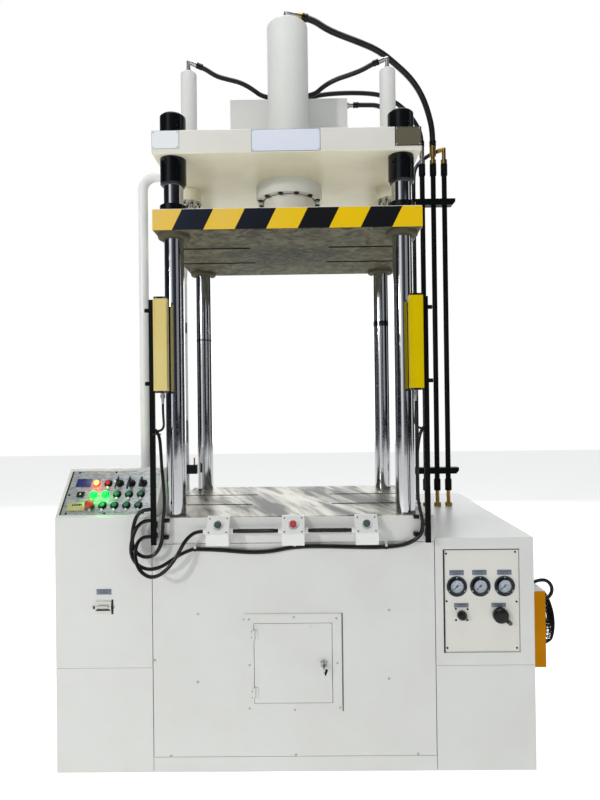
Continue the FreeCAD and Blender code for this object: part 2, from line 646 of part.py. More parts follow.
def guide_bushes():
    """Collared bush in each slider corner, with a wiper ring let into the slider's underside."""
    bore = COLUMN_RADIUS + RUNNING_FIT
    seat = SLIDER_BASE + WIPER_SEAT
    bush = [(bore, seat), (BUSH_RADIUS, seat), (BUSH_RADIUS, SLIDER_TOP),
            (BUSH_COLLAR_RADIUS, SLIDER_TOP), (BUSH_COLLAR_RADIUS, SLIDER_TOP + BUSH_COLLAR_HEIGHT),
            (bore, SLIDER_TOP + BUSH_COLLAR_HEIGHT)]
    wiper = [(bore, SLIDER_BASE - WIPER_HEIGHT), (WIPER_RADIUS - EDGE_CHAMFER, SLIDER_BASE - WIPER_HEIGHT),
             (WIPER_RADIUS, SLIDER_BASE - WIPER_HEIGHT + EDGE_CHAMFER), (WIPER_RADIUS, seat), (bore, seat)]
    return group([turned(p, x, y) for x, y in COLUMN_CENTRES for p in (bush, wiper)])


# ---------------------------------------------------------------- door, lock, gauges, valves, breaker
def hinge_heights():
    return (DOOR_BOTTOM + HINGE_INSET - HINGE_LENGTH / 2,
            DOOR_BOTTOM + DOOR_HEIGHT - HINGE_INSET - HINGE_LENGTH / 2)


def hinge_axis():
    return DOOR_LEFT - SEAM / 2, DOOR_FACE - HINGE_RADIUS


def access_door():
    """Folded sheet with an inward return all round and two hinge knuckles."""
    right = DOOR_LEFT + DOOR_WIDTH
    top = DOOR_BOTTOM + DOOR_HEIGHT
    door = block(DOOR_LEFT, right, DOOR_FACE, FRONT + DOOR_RETURN, DOOR_BOTTOM, top)
    tray = block(DOOR_LEFT + DOOR_SHEET, right - DOOR_SHEET, FRONT, FRONT + DOOR_RETURN,
                 DOOR_BOTTOM + DOOR_SHEET, top - DOOR_SHEET)
    door = door.cut(tray)
    x, y = hinge_axis()
    for z in hinge_heights():
        knuckle = drum(HINGE_RADIUS, x, y, z, z + HINGE_LENGTH)
        leaf = block(x, x + 3 * HINGE_RADIUS, y + HINGE_RADIUS - DOOR_SHEET, DOOR_FACE,
                     z, z + HINGE_LENGTH)
        door = door.fuse([knuckle, leaf])
    lock_x, lock_z = lock_place()
    lock_hole = tilted(drum(LOCK_RADIUS - 2 + RUNNING_FIT, 0, 0, -DOOR_SHEET, 2 * DOOR_SHEET), 90,
                       lock_x, FRONT, lock_z)
    return door.removeSplitter().cut(lock_hole)


def lock_place():
    return DOOR_LEFT + DOOR_WIDTH - LOCK_INSET, DOOR_BOTTOM + DOOR_HEIGHT / 2


def door_lock():
    """Quarter-turn lock: round head, barrel through the door, hanging cam, key in its slot."""
    head = turned([(0, DOOR_SHEET), (LOCK_RADIUS, DOOR_SHEET), (LOCK_RADIUS, DOOR_SHEET + 3),
                   (LOCK_RADIUS - 2, DOOR_SHEET + 5), (0, DOOR_SHEET + 5)])
    barrel = drum(LOCK_RADIUS - 2, 0, 0, -DOOR_RETURN - DOOR_SHEET, DOOR_SHEET)
    cam = block(-9, 9, -LOCK_CAM_LENGTH, 8, -DOOR_RETURN - 2 * DOOR_SHEET, -DOOR_RETURN - DOOR_SHEET)
    key = block(-1.25, 1.25, -10, 10, DOOR_SHEET + 5, DOOR_SHEET + 27)
    lock_x, lock_z = lock_place()
    return tilted(head.fuse([barrel, cam, key]), 90, lock_x, FRONT, lock_z)


def gauge_bodies():
    """Panel gauge: flange on the panel, bezel ring, dial floor and the case behind."""
    face = FRONT + POCKET_DEPTH - GAUGE_PANEL_SHEET
    case = turned([
        (1.5, 0), (GAUGE_DIAL_RADIUS, 0), (GAUGE_DIAL_RADIUS, 9), (GAUGE_DIAL_RADIUS + 3, 11),
        (GAUGE_CASE_RADIUS, 9), (GAUGE_CASE_RADIUS, 3), (GAUGE_FLANGE_RADIUS, 3),
        (GAUGE_FLANGE_RADIUS, 0), (GAUGE_CASE_RADIUS, 0), (GAUGE_CASE_RADIUS, -28), (0, -28),
        (0, -4), (1.5, -4)])
    return group([tilted(case, 90, x, face, GAUGE_Z) for x in GAUGE_X])


def gauge_needle(x):
    """Pointer at rest to the lower left, its pin in the dial's bore."""
    face = FRONT + POCKET_DEPTH - GAUGE_PANEL_SHEET
    hub = drum(3.2, 0, 0, 1.5, 4.5)
    pin = drum(1.5 - RUNNING_FIT, 0, 0, -3, 1.5)
    pointer = Part.Face(Part.makePolygon([
        vector(-21, 0, 2), vector(8, -1.6, 2), vector(8, 1.6, 2), vector(-21, 0, 2)]))
    pointer = pointer.extrude(vector(0, 0, 1.2))
    pointer.rotate(ORIGIN, UP, 45)
    return tilted(hub.fuse([pin, pointer]), 90, x, face, GAUGE_Z)


def small_knob():
    """Speed knob on its spindle through the panel."""
    face = FRONT + POCKET_DEPTH - GAUGE_PANEL_SHEET
    knob = turned([(0, -12), (DEVICE_BODY_RADIUS, -12), (DEVICE_BODY_RADIUS, LOOSE),
                   (18, LOOSE), (18, 12), (15, 15), (11, 24), (0, 24)])
    mark = block(-1.5, 1.5, 0, 16, 14, 26)
    return tilted(knob.fuse(mark), 90, SMALL_KNOB_X, face, VALVE_Z)


def valve_lever():
    """Cock valve: round boss and a short lever to the lower right."""
    face = FRONT + POCKET_DEPTH - GAUGE_PANEL_SHEET
    boss = turned([(0, -12), (DEVICE_BODY_RADIUS, -12), (DEVICE_BODY_RADIUS, LOOSE),
                   (30, LOOSE), (30, 16), (25, 22), (14, 24), (0, 24)])
    lever = block(0, 44, -8, 8, 10, 20).fuse(drum(8, 44, 0, 10, 20))
    lever.rotate(ORIGIN, UP, -40)
    return tilted(boss.fuse(lever), 90, VALVE_X, face, VALVE_Z)


def breaker():
    """Moulded breaker standing in the cabinet's window."""
    half = BREAKER_WIDTH / 2 - LOOSE
    rise = BREAKER_HEIGHT / 2 - LOOSE
    body = block(-half, half, -rise, rise, -40, 5)
    slot = block(-half + 8, half - 8, -9, 9, -9, 5)
    ears = block(-half - 9, -half, -5, 5, 0, 3).fuse(block(half, half + 9, -5, 5, 0, 3))
    pivots = [block(s * half - 8 if s > 0 else -half, half if s > 0 else -half + 8, -4, 4, 5, 7)
              for s in (-1, 1)]
    return tilted(body.cut(slot).fuse([ears] + pivots), 90, BREAKER_X, FRONT, BREAKER_Z)


def breaker_toggle():
    """Tied three-pole toggle that rocks in the breaker's slot."""
    half = BREAKER_WIDTH / 2 - 2 * LOOSE - 8
    drum_part = Part.makeCylinder(6, 2 * half, vector(-half, 0, -2), vector(1, 0, 0))
    lever = block(-half + 4, half - 4, -2.5, 2.5, -2, 14)
    lever.rotate(vector(0, 0, -2), vector(1, 0, 0), -25)
    return tilted(drum_part.fuse(lever), 90, BREAKER_X, FRONT, BREAKER_Z)


# ---------------------------------------------------------------- console
def on_console(shape, x, up_slope):
    """Place a shape built flat about its own axis on the console's sloped face."""
    flat = shape.copy()
    flat.translate(vector(0, up_slope, 0))
    return tilted(flat, CONSOLE_SLOPE, x, FRONT, CONSOLE_LIP)


def console_outline(inset):
    """Side view of the console's housing, drawn in by a wall thickness."""
    slope = math.radians(CONSOLE_SLOPE)
    top_front = FRONT + CONSOLE_RUN
    rise = CONSOLE_LIP + CONSOLE_RISE
    knee = inset * math.tan(slope / 2)
    lip = inset * math.tan((math.pi / 2 - slope) / 2)
    return [(FRONT + inset, TABLE_BASE), (FRONT + inset, CONSOLE_LIP - lip),
            (top_front + knee, rise - inset), (top_front + CONSOLE_TOP_DEPTH - inset, rise - inset),
            (CONSOLE_BACK - inset, rise - CONSOLE_RISE / 2), (CONSOLE_BACK - inset, TABLE_BASE)]


def console_housing():
    """Folded desk housing: sloped face with a rebate and a window for the panel."""
    shell = extruded(console_outline(0), BASE_LEFT, CONSOLE_RIGHT)
    inner = extruded(console_outline(CONSOLE_SHEET + GAUGE_PANEL_SHEET), BASE_LEFT + CONSOLE_SHEET,
                     CONSOLE_RIGHT - CONSOLE_SHEET)
    width = CONSOLE_RIGHT - BASE_LEFT
    rebate = block(CONSOLE_RIM, width - CONSOLE_RIM, CONSOLE_RIM, CONSOLE_FACE - CONSOLE_RIM,
                   -GAUGE_PANEL_SHEET, 10)
    edge = CONSOLE_RIM + CONSOLE_LEDGE
    window = block(edge, width - edge, edge, CONSOLE_FACE - edge, -20, 0)
    cuts = [tilted(c, CONSOLE_SLOPE, BASE_LEFT, FRONT, CONSOLE_LIP) for c in (rebate, window)]
    return shell.cut([inner] + cuts)


def console_columns():
    return [CONSOLE_FIRST_X + i * CONSOLE_PITCH_X for i in range(5)]


def console_panel():
    width = CONSOLE_RIGHT - BASE_LEFT
    sheet = block(CONSOLE_RIM + LOOSE, width - CONSOLE_RIM - LOOSE, CONSOLE_RIM + LOOSE,
                  CONSOLE_FACE - CONSOLE_RIM - LOOSE, -GAUGE_PANEL_SHEET, 0)
    sheet = tilted(sheet, CONSOLE_SLOPE, BASE_LEFT, FRONT, CONSOLE_LIP)
    holes = []
    for x in console_columns():
        for row in CONSOLE_ROWS:
            holes.append(on_console(drum(DEVICE_BODY_RADIUS + FIXED_FIT, 0, 0, -10, 10), x, row))
    return sheet.cut(holes)


def device_socket():
    """Bezel ring on the panel and the device's body behind it, open for the cap and its stem."""
    body = DEVICE_BODY_RADIUS
    cap = CAP_RADIUS + RUNNING_FIT
    stem = 3.0 + RUNNING_FIT
    return turned([(stem, -22), (body, -22), (body, 0), (DEVICE_RADIUS, 0), (DEVICE_RADIUS, 7),
                   (DEVICE_RADIUS - 2, 9), (cap, 9), (cap, -19), (stem, -19)])


def lamp():
    """Indicator lamp: collar with a domed lens."""
    return turned([(0, -22), (DEVICE_BODY_RADIUS, -22), (DEVICE_BODY_RADIUS, 0), (DEVICE_RADIUS, 0),
                   (DEVICE_RADIUS, 6), (12, 7), (11, 13), (7, 17), (0, 18)])


LAMPS = ((0, 0), (1, 0), (1, 1))      # (row, column) of the fixed lamps
STOP_PLACE = (2, 0)
RED_BUTTON_PLACE = (0, 1)
SELECTOR_PLACES = ((0, 2), (0, 3), (0, 4))
GREEN_PLACES = ((1, 2), (1, 3), (1, 4), (2, 1), (2, 2), (2, 3), (2, 4))


def console_place(shape, place):
    row, column = place
    return on_console(shape, console_columns()[column], CONSOLE_ROWS[row])


def console_fittings():
    """Everything fixed on the console's panel: lamps, sockets, display and hour counter."""
    solids = [console_place(lamp(), p) for p in LAMPS]
    for place in (STOP_PLACE, RED_BUTTON_PLACE) + SELECTOR_PLACES + GREEN_PLACES:
        solids.append(console_place(device_socket(), place))
    display = block(-14, 14, -12, 12, 0, 6)
    counter = block(-36, 36, -18, 18, 0, 7).cut(block(-20, 20, 2, 12, 4, 7))
    left = CONSOLE_FIRST_X - 54
    solids.append(on_console(display, left, CONSOLE_ROWS[1]))
    solids.append(on_console(counter, left, CONSOLE_ROWS[2] - 6))
    return group(solids)


def push_button(place):
    cap = turned([(0, -24), (3, -24), (3, -3), (CAP_RADIUS, -3), (CAP_RADIUS, 9.5),
                  (CAP_RADIUS - 1, 10.5), (0, 10.5)])
    return console_place(cap, place)


def mushroom_stop():
    head = turned([(0, -24), (3, -24), (3, -3), (CAP_RADIUS, -3), (CAP_RADIUS, 16),
                   (STOP_RADIUS, 16), (STOP_RADIUS, 22), (STOP_RADIUS - 4, 26), (0, 28)])
    return console_place(head, STOP_PLACE)


def key_selector(place):
    rotor = turned([(0, -24), (3, -24), (3, -3), (CAP_RADIUS, -3), (CAP_RADIUS, 13),
                    (CAP_RADIUS - 1, 14), (0, 14)])
    key = block(-1.25, 1.25, -10, 10, 14, 36)
    return console_place(rotor.fuse(key), place)


# ---------------------------------------------------------------- front button boxes
def on_box(shape, index):
    """Place a shape built flat about its own axis at the middle of a box's sloped face."""
    flat = shape.copy()
    flat.translate(vector(0, BOX_FACE / 2, 0))
    return tilted(flat, BOX_SLOPE, BOX_X[index], FRONT - BOX_DEPTH, BOX_BASE + BOX_FRONT_HEIGHT)


def box_outline(inset):
    slope = math.radians(BOX_SLOPE)
    low = BOX_BASE + inset
    top = BOX_BASE + BOX_HEIGHT
    front = FRONT - BOX_DEPTH
    shoulder = inset * math.tan((math.pi / 2 - slope) / 2)
    ridge = inset * math.tan(slope / 2)
    return [(FRONT, low), (front + inset, low), (front + inset, BOX_BASE + BOX_FRONT_HEIGHT - shoulder),
            (FRONT - BOX_TOP_DEPTH + ridge, top - inset), (FRONT, top - inset)]


def button_box(index):
    """Sheet box with a sloped face, a raised collar round its button and glands at its sides."""
    x1 = BOX_X[index] - BOX_WIDTH / 2
    x2 = BOX_X[index] + BOX_WIDTH / 2
    box = extruded(box_outline(0), x1, x2)
    box = box.cut(extruded(box_outline(BOX_SHEET), x1 + BOX_SHEET, x2 - BOX_SHEET))
    bore = BOX_CAP_RADIUS + RUNNING_FIT
    collar = turned([(bore, 0), (BOX_COLLAR_RADIUS, 0), (BOX_COLLAR_RADIUS, 6), (bore, 6)])
    box = box.fuse(on_box(collar, index))
    box = box.cut(on_box(drum(bore, 0, 0, -BOX_SHEET * 2, 3), index))
    for side, edge in ((-1, x1), (1, x2)):
        if index == len(BOX_X) - 1 and side == 1:
            continue
        start = vector(edge, FRONT - BOX_DEPTH / 2, CONDUIT_Z)
        box = box.fuse(Part.makeCylinder(GLAND_PLUG_RADIUS, GLAND_PLUG_LENGTH, start, vector(side, 0, 0)))
    return box.removeSplitter()


def button_boxes():
    return group([button_box(i) for i in range(len(BOX_X))])


def box_button(index):
    """Large flat button; its skirt stays inside the collar through the travel."""
    cap = turned([(0, -8), (BOX_CAP_RADIUS, -8), (BOX_CAP_RADIUS, 10), (BOX_CAP_RADIUS - 2, 12), (0, 12)])
    return on_box(cap, index)


def box_conduits():
    """Corrugated conduit between neighbouring boxes, gland to gland."""
    conduits = []
    for left, right in zip(BOX_X, BOX_X[1:]):
        x1 = left + BOX_WIDTH / 2 + GLAND_PLUG_LENGTH
        x2 = right - BOX_WIDTH / 2 - GLAND_PLUG_LENGTH
        plain = 2 * CONDUIT_RADIUS
        pitch = (x2 - x1 - 2 * plain) / CONDUIT_RIBS
        outline = [(CONDUIT_BORE_RADIUS, x1), (CONDUIT_RADIUS - 1, x1), (CONDUIT_RADIUS - 1, x1 + plain)]
        for i in range(CONDUIT_RIBS):
            start = x1 + plain + i * pitch
            outline += [(CONDUIT_RADIUS, start + pitch * 0.25), (CONDUIT_RADIUS, start + pitch * 0.6),
                        (CONDUIT_RADIUS - 1, start + pitch * 0.85)]
        outline += [(CONDUIT_RADIUS - 1, x2), (CONDUIT_BORE_RADIUS, x2)]
        corners = [vector(x, 0, r) for r, x in outline]
        face = Part.Face(Part.makePolygon(corners + corners[:1]))
        conduit = face.revolve(ORIGIN, vector(1, 0, 0), 360)
        conduit.translate(vector(0, FRONT - BOX_DEPTH / 2, CONDUIT_Z))
        conduits.append(conduit)
    return group(conduits)


# ---------------------------------------------------------------- light curtains and rail
def light_curtains():
    """Sender and receiver: grooved bar, end caps, and the plug under each."""
    solids = []
    for side in (-1, 1):
        x1 = side * CURTAIN_X - CURTAIN_WIDTH / 2
        x2 = side * CURTAIN_X + CURTAIN_WIDTH / 2
        back = CURTAIN_FRONT + CURTAIN_DEPTH
        top = CURTAIN_BASE + CURTAIN_HEIGHT
        bar = block(x1, x2, CURTAIN_FRONT, back, CURTAIN_BASE + CURTAIN_CAP, top - CURTAIN_CAP)
        groove_x = x2 if side < 0 else x1
        window = block(groove_x - 3, groove_x + 3, CURTAIN_FRONT + 9, back - 9,
                       CURTAIN_BASE + 20, top - 20)
        caps = [block(x1 + 2, x2 - 2, CURTAIN_FRONT + 2, back - 2, z, z + CURTAIN_CAP)
                for z in (CURTAIN_BASE, top - CURTAIN_CAP)]
        middle = CURTAIN_FRONT + CURTAIN_DEPTH / 2
        plug = turned([(0, CURTAIN_BASE - PLUG_LENGTH), (PLUG_RADIUS - 2, CURTAIN_BASE - PLUG_LENGTH),
                       (PLUG_RADIUS - 1, CURTAIN_BASE - PLUG_LENGTH / 2),
                       (PLUG_RADIUS + 1, CURTAIN_BASE - PLUG_LENGTH / 2),
                       (PLUG_RADIUS + 1, CURTAIN_BASE), (0, CURTAIN_BASE)],
                      side * (CURTAIN_X - 5), middle)
        solids += [bar.cut(window).fuse(caps), plug]
    return group(solids)


def curtain_mounts():
    """Posts on the table's front corners, with standoffs, bar brackets and clamp knobs."""
    solids = []
    for side in (-1, 1):
        x1, x2 = side * POST_X - POST_WIDTH / 2, side * POST_X + POST_WIDTH / 2
        post = block(x1, x2, POST_FRONT, POST_FRONT + POST_DEPTH, POST_BASE, POST_TOP)
        extras = []
        for z in (POST_BASE + 20, TABLE_TOP - 40):
            extras.append(block(x1 + 2, x2 - 2, POST_FRONT + POST_DEPTH, FRONT, z, z + 22))
        inner_edge = side * (CURTAIN_X + CURTAIN_WIDTH / 2)
        for z in BRACKET_Z:
            a, b = sorted((inner_edge, side * POST_X))
            extras.append(block(a, b, POST_FRONT, POST_FRONT + 8, z - 9, z + 9))
            knob_x = side * (POST_X + POST_WIDTH / 2)
            extras.append(Part.makeCylinder(8, 16, vector(knob_x, POST_FRONT + POST_DEPTH / 2, z),
                                            vector(side, 0, 0)))
        solids.append(post.fuse(extras).removeSplitter())
    return group(solids)


def position_rail():
    """Rail beside the left columns on a bracket at the table and one at the crown, with its three switches."""
    x2 = -HALF_WIDTH - RAIL_GAP
    x1 = x2 - RAIL_WIDTH
    y1, y2 = RAIL_Y - RAIL_DEPTH / 2, RAIL_Y + RAIL_DEPTH / 2
    rail_top = CROWN_BASE + CROWN_THICKNESS / 2
    solids = [block(x1, x2, y1, y2, TABLE_TOP, rail_top),
              block(x2, -HALF_WIDTH, y1, y2, CROWN_BASE + EDGE_CHAMFER * 4, rail_top),
              block(x1, FRAME_LEFT, y1, y2, TABLE_BASE + RAIL_GAP, TABLE_TOP)]
    for rise, height in SWITCHES[:-1]:
        z = TABLE_TOP + rise
        solids.append(block(x1, x2 - 4, y1 - SWITCH_DEPTH, y1, z, z + height))
    rise, height = SWITCHES[-1]
    z = TABLE_TOP + rise
    low_switch = block(x1 + 8, x1 + 68, y1 - SWITCH_DEPTH, y1, z, z + height)
    stem = drum(4, x1 + 54, y1 - SWITCH_DEPTH / 2, z + height, z + height + 36)
    solids.append(low_switch.fuse(stem))
    return group(solids)


# ---------------------------------------------------------------- hydraulic lines
def riser_pipes():
    """Three coupled steel risers at the right rear."""
    profile = [(0, RISER_FOOT), (RISER_COLLAR_RADIUS, RISER_FOOT),
               (RISER_COLLAR_RADIUS, RISER_FOOT + RISER_COLLAR), (RISER_RADIUS, RISER_FOOT + RISER_COLLAR),
               (RISER_RADIUS, RISER_TOP - RISER_COLLAR), (RISER_COLLAR_RADIUS, RISER_TOP - RISER_COLLAR),
               (RISER_COLLAR_RADIUS, RISER_TOP), (0, RISER_TOP)]
    return group([turned(profile, x, RISER_Y) for x in RISER_X])


def pipe_clamps():
    """Bored clamp bars: the upper one off the crown's side, the lower one on the pipes."""
    bars = []
    for z, left in zip(CLAMP_Z, (HALF_WIDTH, DROP_HOSE_X - 24)):
        bar = block(left, CLAMP_RIGHT, CLAMP_Y, CLAMP_Y + CLAMP_DEPTH, z, z + CLAMP_HEIGHT)
        corner = Part.Face(Part.makePolygon([
            vector(CLAMP_RIGHT, CLAMP_Y, z), vector(CLAMP_RIGHT, CLAMP_Y, z + CLAMP_HEIGHT / 2),
            vector(CLAMP_RIGHT - 14, CLAMP_Y, z), vector(CLAMP_RIGHT, CLAMP_Y, z)]))
        bores = [drum(RISER_RADIUS + FIXED_FIT, x, RISER_Y, z, z + CLAMP_HEIGHT) for x in RISER_X]
        bores.append(drum(DROP_HOSE / 2 + FIXED_FIT, DROP_HOSE_X, RISER_Y, z, z + CLAMP_HEIGHT))
        bars.append(bar.cut([corner.extrude(vector(0, CLAMP_DEPTH, 0))] + bores))
    return group(bars)


def conduit_riser():
    """White steel conduit from the left cabinet up and into the crown's side."""
    bend = CONDUIT_RISER_BEND
    x, y = CONDUIT_RISER_X, CONDUIT_RISER_Y
    z = CROWN_BASE + CROWN_THICKNESS / 2
    start = vector(x, y, TABLE_BASE)
    bend_start = vector(x, y, z - bend)
    bend_end = vector(x + bend, y, z)
    half = bend * (1 - math.cos(math.pi / 4))
    bend_middle = vector(x + half, y, z - half)
    path = Part.Wire([Part.LineSegment(start, bend_start).toShape(),
                      Part.Arc(bend_start, bend_middle, bend_end).toShape(),
                      Part.LineSegment(bend_end, vector(-HALF_WIDTH, y, z)).toShape()])
    outer = path.makePipeShell([Part.Wire([Part.makeCircle(CONDUIT_RISER_RADIUS, start, UP)])], True, False)
    inner_radius = CONDUIT_RISER_RADIUS - CONDUIT_RISER_WALL
    inner = path.makePipeShell([Part.Wire([Part.makeCircle(inner_radius, start, UP)])], True, False)
    foot = drum(CONDUIT_RISER_RADIUS + 8, x, y, TABLE_BASE, TABLE_BASE + 8)
    head = Part.makeCylinder(CONDUIT_RISER_RADIUS + 7, 8, vector(-HALF_WIDTH - 8, y, z), vector(1, 0, 0))
    return outer.fuse([foot, head]).cut(inner)


TEE_HEIGHT = 49.0
TEE_HALF_WIDTH = 42.0
TEE_FRONT = TANK_FRONT + 2.0
TEE_DEPTH = 64.0
PORT_Z = TANK_TOP + 19.0
CROSS_PORT_Z = TANK_TOP + 31.0
RETURN_FITTING_Z = RETURN_TOP + 56.0
MAIN_ELBOW_Z = CYLINDER_TOP + 66.0
DROP_ELBOW_Z = RISER_TOP + 79.0
FERRULE_TOP = RISER_TOP + 94.0
TANK_OUTLET_Y = TANK_FRONT + 27.0
TANK_OUTLET_Z = TANK_TOP - 21.0
OUTLET_LENGTH = 30.0
BULKHEAD_X = HALF_WIDTH + 54.5
BULKHEAD_Y = RISER_Y - 27.0
BULKHEAD_TOP = CROWN_TOP - 11.0
BULKHEAD_FITTING = 40.0
MAIN_ARM = 72.0
RETURN_ARM = 42.0
DROP_ARM = 30.0
DROP_SOCKET = 26.0



def laid(points, start, end):
    """Hand-laid points; where a fitting moves, its run moves with it and the points between share the shift."""
    first, last = vector(*start).sub(vector(*points[0])), vector(*end).sub(vector(*points[-1]))
    route = []
    for i, point in enumerate(points):
        share = min(1.0, max(0.0, (i - 1) / (len(points) - 3)))
        place = vector(*point).add(first * (1 - share)).add(last * share)
        route.append((place.x, place.y, place.z))
    return tuple(route)


# Each route runs from the middle of its first fitting; the fitting's arm takes up the start.
MAIN_ROUTE = laid((
    (0, 0, 3284), (120, 2, 3255), (185, 16, 3218), (255, 36, 3200), (342, 63, 3184), (440, 104, 3168),
    (530, 150, 3128), (625, 206, 3078), (690, 250, 3004), (730, 284, 2910), (742, 295, 2846), (742, 295, 2781)),
    (0, 0, MAIN_ELBOW_Z), (RISER_X[1], RISER_Y, FERRULE_TOP))
LEFT_ROUTE = laid((
    (-466, 0, 3065), (-390, 5, 3034), (-342, 24, 3009), (-288, 44, 3004), (-236, 66, 3003),
    (-185, 94, 2991), (-119, 136, 2960), (-42, 136, 2960)),
    (-RETURN_OFFSET, 0, RETURN_FITTING_Z), (-TEE_HALF_WIDTH, TEE_FRONT + 24, PORT_Z))
RIGHT_ROUTE = laid((
    (466, 0, 3065), (398, 4, 3042), (350, 18, 3022), (292, 40, 3013), (232, 62, 3007),
    (174, 90, 2992), (118, 124, 2960), (42, 124, 2960)),
    (RETURN_OFFSET, 0, RETURN_FITTING_Z), (TEE_HALF_WIDTH, TEE_FRONT + 12, PORT_Z))
CROSS_ROUTE = laid((
    (42, 158, 2972), (100, 158, 2972), (170, 160, 2988), (270, 168, 2998), (370, 180, 3003), (465, 198, 3002),
    (545, 228, 2976), (603, 256, 2946), (649, 280, 2902), (685, 295, 2844), (685, 295, 2781)),
    (TEE_HALF_WIDTH, TEE_FRONT + 46, CROSS_PORT_Z), (RISER_X[0], RISER_Y, FERRULE_TOP))
TANK_ROUTE = laid((
    (316, 137, 2920), (376, 137, 2920), (446, 150, 2924), (510, 178, 2900), (556, 208, 2846),
    (582, 236, 2774), (592, 268, 2690), (592, 268, 2578)),
    (TANK_WIDTH / 2 + OUTLET_LENGTH, TANK_OUTLET_Y, TANK_OUTLET_Z),
    (BULKHEAD_X, BULKHEAD_Y, BULKHEAD_TOP + BULKHEAD_FITTING))
DROP_ROUTE = laid((
    (799, 295, 2766), (744, 328, 2758), (704, 342, 2737), (668, 335, 2702), (647, 312, 2656),
    (640, 295, 2600), (640, 295, 941)),
    (RISER_X[2], RISER_Y, DROP_ELBOW_Z), (DROP_HOSE_X, RISER_Y, RIGHT_CABINET_TOP + DROP_SOCKET))


def arm_end(route, length):
    """Where a fitting's arm stops and its hose begins."""
    start, bend = vector(*route[0]), vector(*route[1])
    return start.add(unit(start, bend) * length)


def after_arm(route, length):
    end = arm_end(route, length)
    return ((end.x, end.y, end.z),) + route[1:]


def swivel_arm(route, length, radius, sleeve_radius, sleeve_length):
    """Arm along the hose's own direction, with the crimped sleeve at its end."""
    start, end = vector(*route[0]), arm_end(route, length)
    way = unit(start, end)
    return [Part.makeSphere(radius, start), Part.makeCylinder(radius, length, start, way),
            Part.makeCylinder(sleeve_radius, sleeve_length, end.sub(way * sleeve_length), way)]


def hose_fittings():
    """Elbows, ferrules, nipples and the tee block, in brass and plated steel."""
    elbow = drum(22, 0, 0, CYLINDER_TOP, CYLINDER_TOP + 22)
    solids = [elbow.fuse([drum(16, 0, 0, CYLINDER_TOP, MAIN_ELBOW_Z)]
                         + swivel_arm(MAIN_ROUTE, MAIN_ARM, 16, 18.5, 34))]
    for side, route in ((-1, LEFT_ROUTE), (1, RIGHT_ROUTE)):
        x = side * RETURN_OFFSET
        stub = drum(14, x, 0, RETURN_TOP, RETURN_TOP + 14)
        solids.append(stub.fuse([drum(9, x, 0, RETURN_TOP, RETURN_FITTING_Z)]
                                + swivel_arm(route, RETURN_ARM, 9, 12.5, 24)))
    solids.append(block(-TEE_HALF_WIDTH, TEE_HALF_WIDTH, TEE_FRONT, TEE_FRONT + TEE_DEPTH,
                        TANK_TOP, TANK_TOP + TEE_HEIGHT))
    outlet = vector(TANK_WIDTH / 2, TANK_OUTLET_Y, TANK_OUTLET_Z)
    solids.append(Part.makeCylinder(12, OUTLET_LENGTH, outlet, vector(1, 0, 0)).fuse(
        Part.makeCylinder(17, 10, outlet, vector(1, 0, 0))))
    for x, radius in ((RISER_X[0], 12.5), (RISER_X[1], 16.5)):
        solids.append(drum(10, x, RISER_Y, RISER_TOP, FERRULE_TOP).fuse([
            drum(16, x, RISER_Y, RISER_TOP, RISER_TOP + 22),
            drum(radius, x, RISER_Y, RISER_TOP + 38, FERRULE_TOP)]))
    x = RISER_X[2]
    solids.append(drum(16, x, RISER_Y, RISER_TOP, RISER_TOP + 22).fuse(
        [drum(10, x, RISER_Y, RISER_TOP, DROP_ELBOW_Z)] + swivel_arm(DROP_ROUTE, DROP_ARM, 10, 12, 14)))
    for x in RISER_X + [DROP_HOSE_X]:
        top = RISER_FOOT if x in RISER_X else RIGHT_CABINET_TOP + DROP_SOCKET
        solids.append(drum(10, x, RISER_Y, RIGHT_CABINET_TOP, top).fuse(
            drum(18, x, RISER_Y, RIGHT_CABINET_TOP, RIGHT_CABINET_TOP + 20)))
    solids.append(drum(13, BULKHEAD_X, BULKHEAD_Y, BULKHEAD_TOP, BULKHEAD_TOP + BULKHEAD_FITTING).fuse(
        block(HALF_WIDTH, BULKHEAD_X + 16, BULKHEAD_Y - 16, BULKHEAD_Y + 16, BULKHEAD_TOP - 32, BULKHEAD_TOP)))
    return group(solids)


def hoses():
    return group([tube("main_hose", after_arm(MAIN_ROUTE, MAIN_ARM), MAIN_HOSE),
                  tube("left_return_hose", after_arm(LEFT_ROUTE, RETURN_ARM), RETURN_HOSE),
                  tube("right_return_hose", after_arm(RIGHT_ROUTE, RETURN_ARM), RETURN_HOSE),
                  tube("cross_hose", CROSS_ROUTE, RETURN_HOSE),
                  tube("tank_hose", TANK_ROUTE, RETURN_HOSE),
                  tube("drop_hose", after_arm(DROP_ROUTE, DROP_ARM), DROP_HOSE)])


# ---------------------------------------------------------------- electric cables
POST_LEFT = -POST_X - POST_WIDTH / 2
POST_INNER = POST_X - POST_WIDTH / 2
GLAND_Y = FRONT - BOX_DEPTH / 2
FRONT_CABLE = 14.0
CLIP_BASE = TABLE_TOP - 26.0
CLIP_HEIGHT = 24.0
CLIP_WIDTH = 20.0
CLIP_STANDOFF = 41.0
CABLE_STANDOFF = 31.0
CABLE_Y = FRONT - CABLE_STANDOFF
RIGHT_CLIP_X = HALF_WIDTH - 22.5
LEFT_CLIP_X = -HALF_WIDTH + 37.5
PLUG_BASE = CURTAIN_BASE - PLUG_LENGTH
PLUG_X = CURTAIN_X - 5.0
PLUG_Y = CURTAIN_FRONT + CURTAIN_DEPTH / 2
LEAD_DROP = 107.6
FAN_LEAD_Y = COOLER_FRONT + 68.0
JOINT_PLACE = (-HALF_WIDTH + 151.5, FRONT - 15, TABLE_BASE - 18)    # where a loop meets the front cable
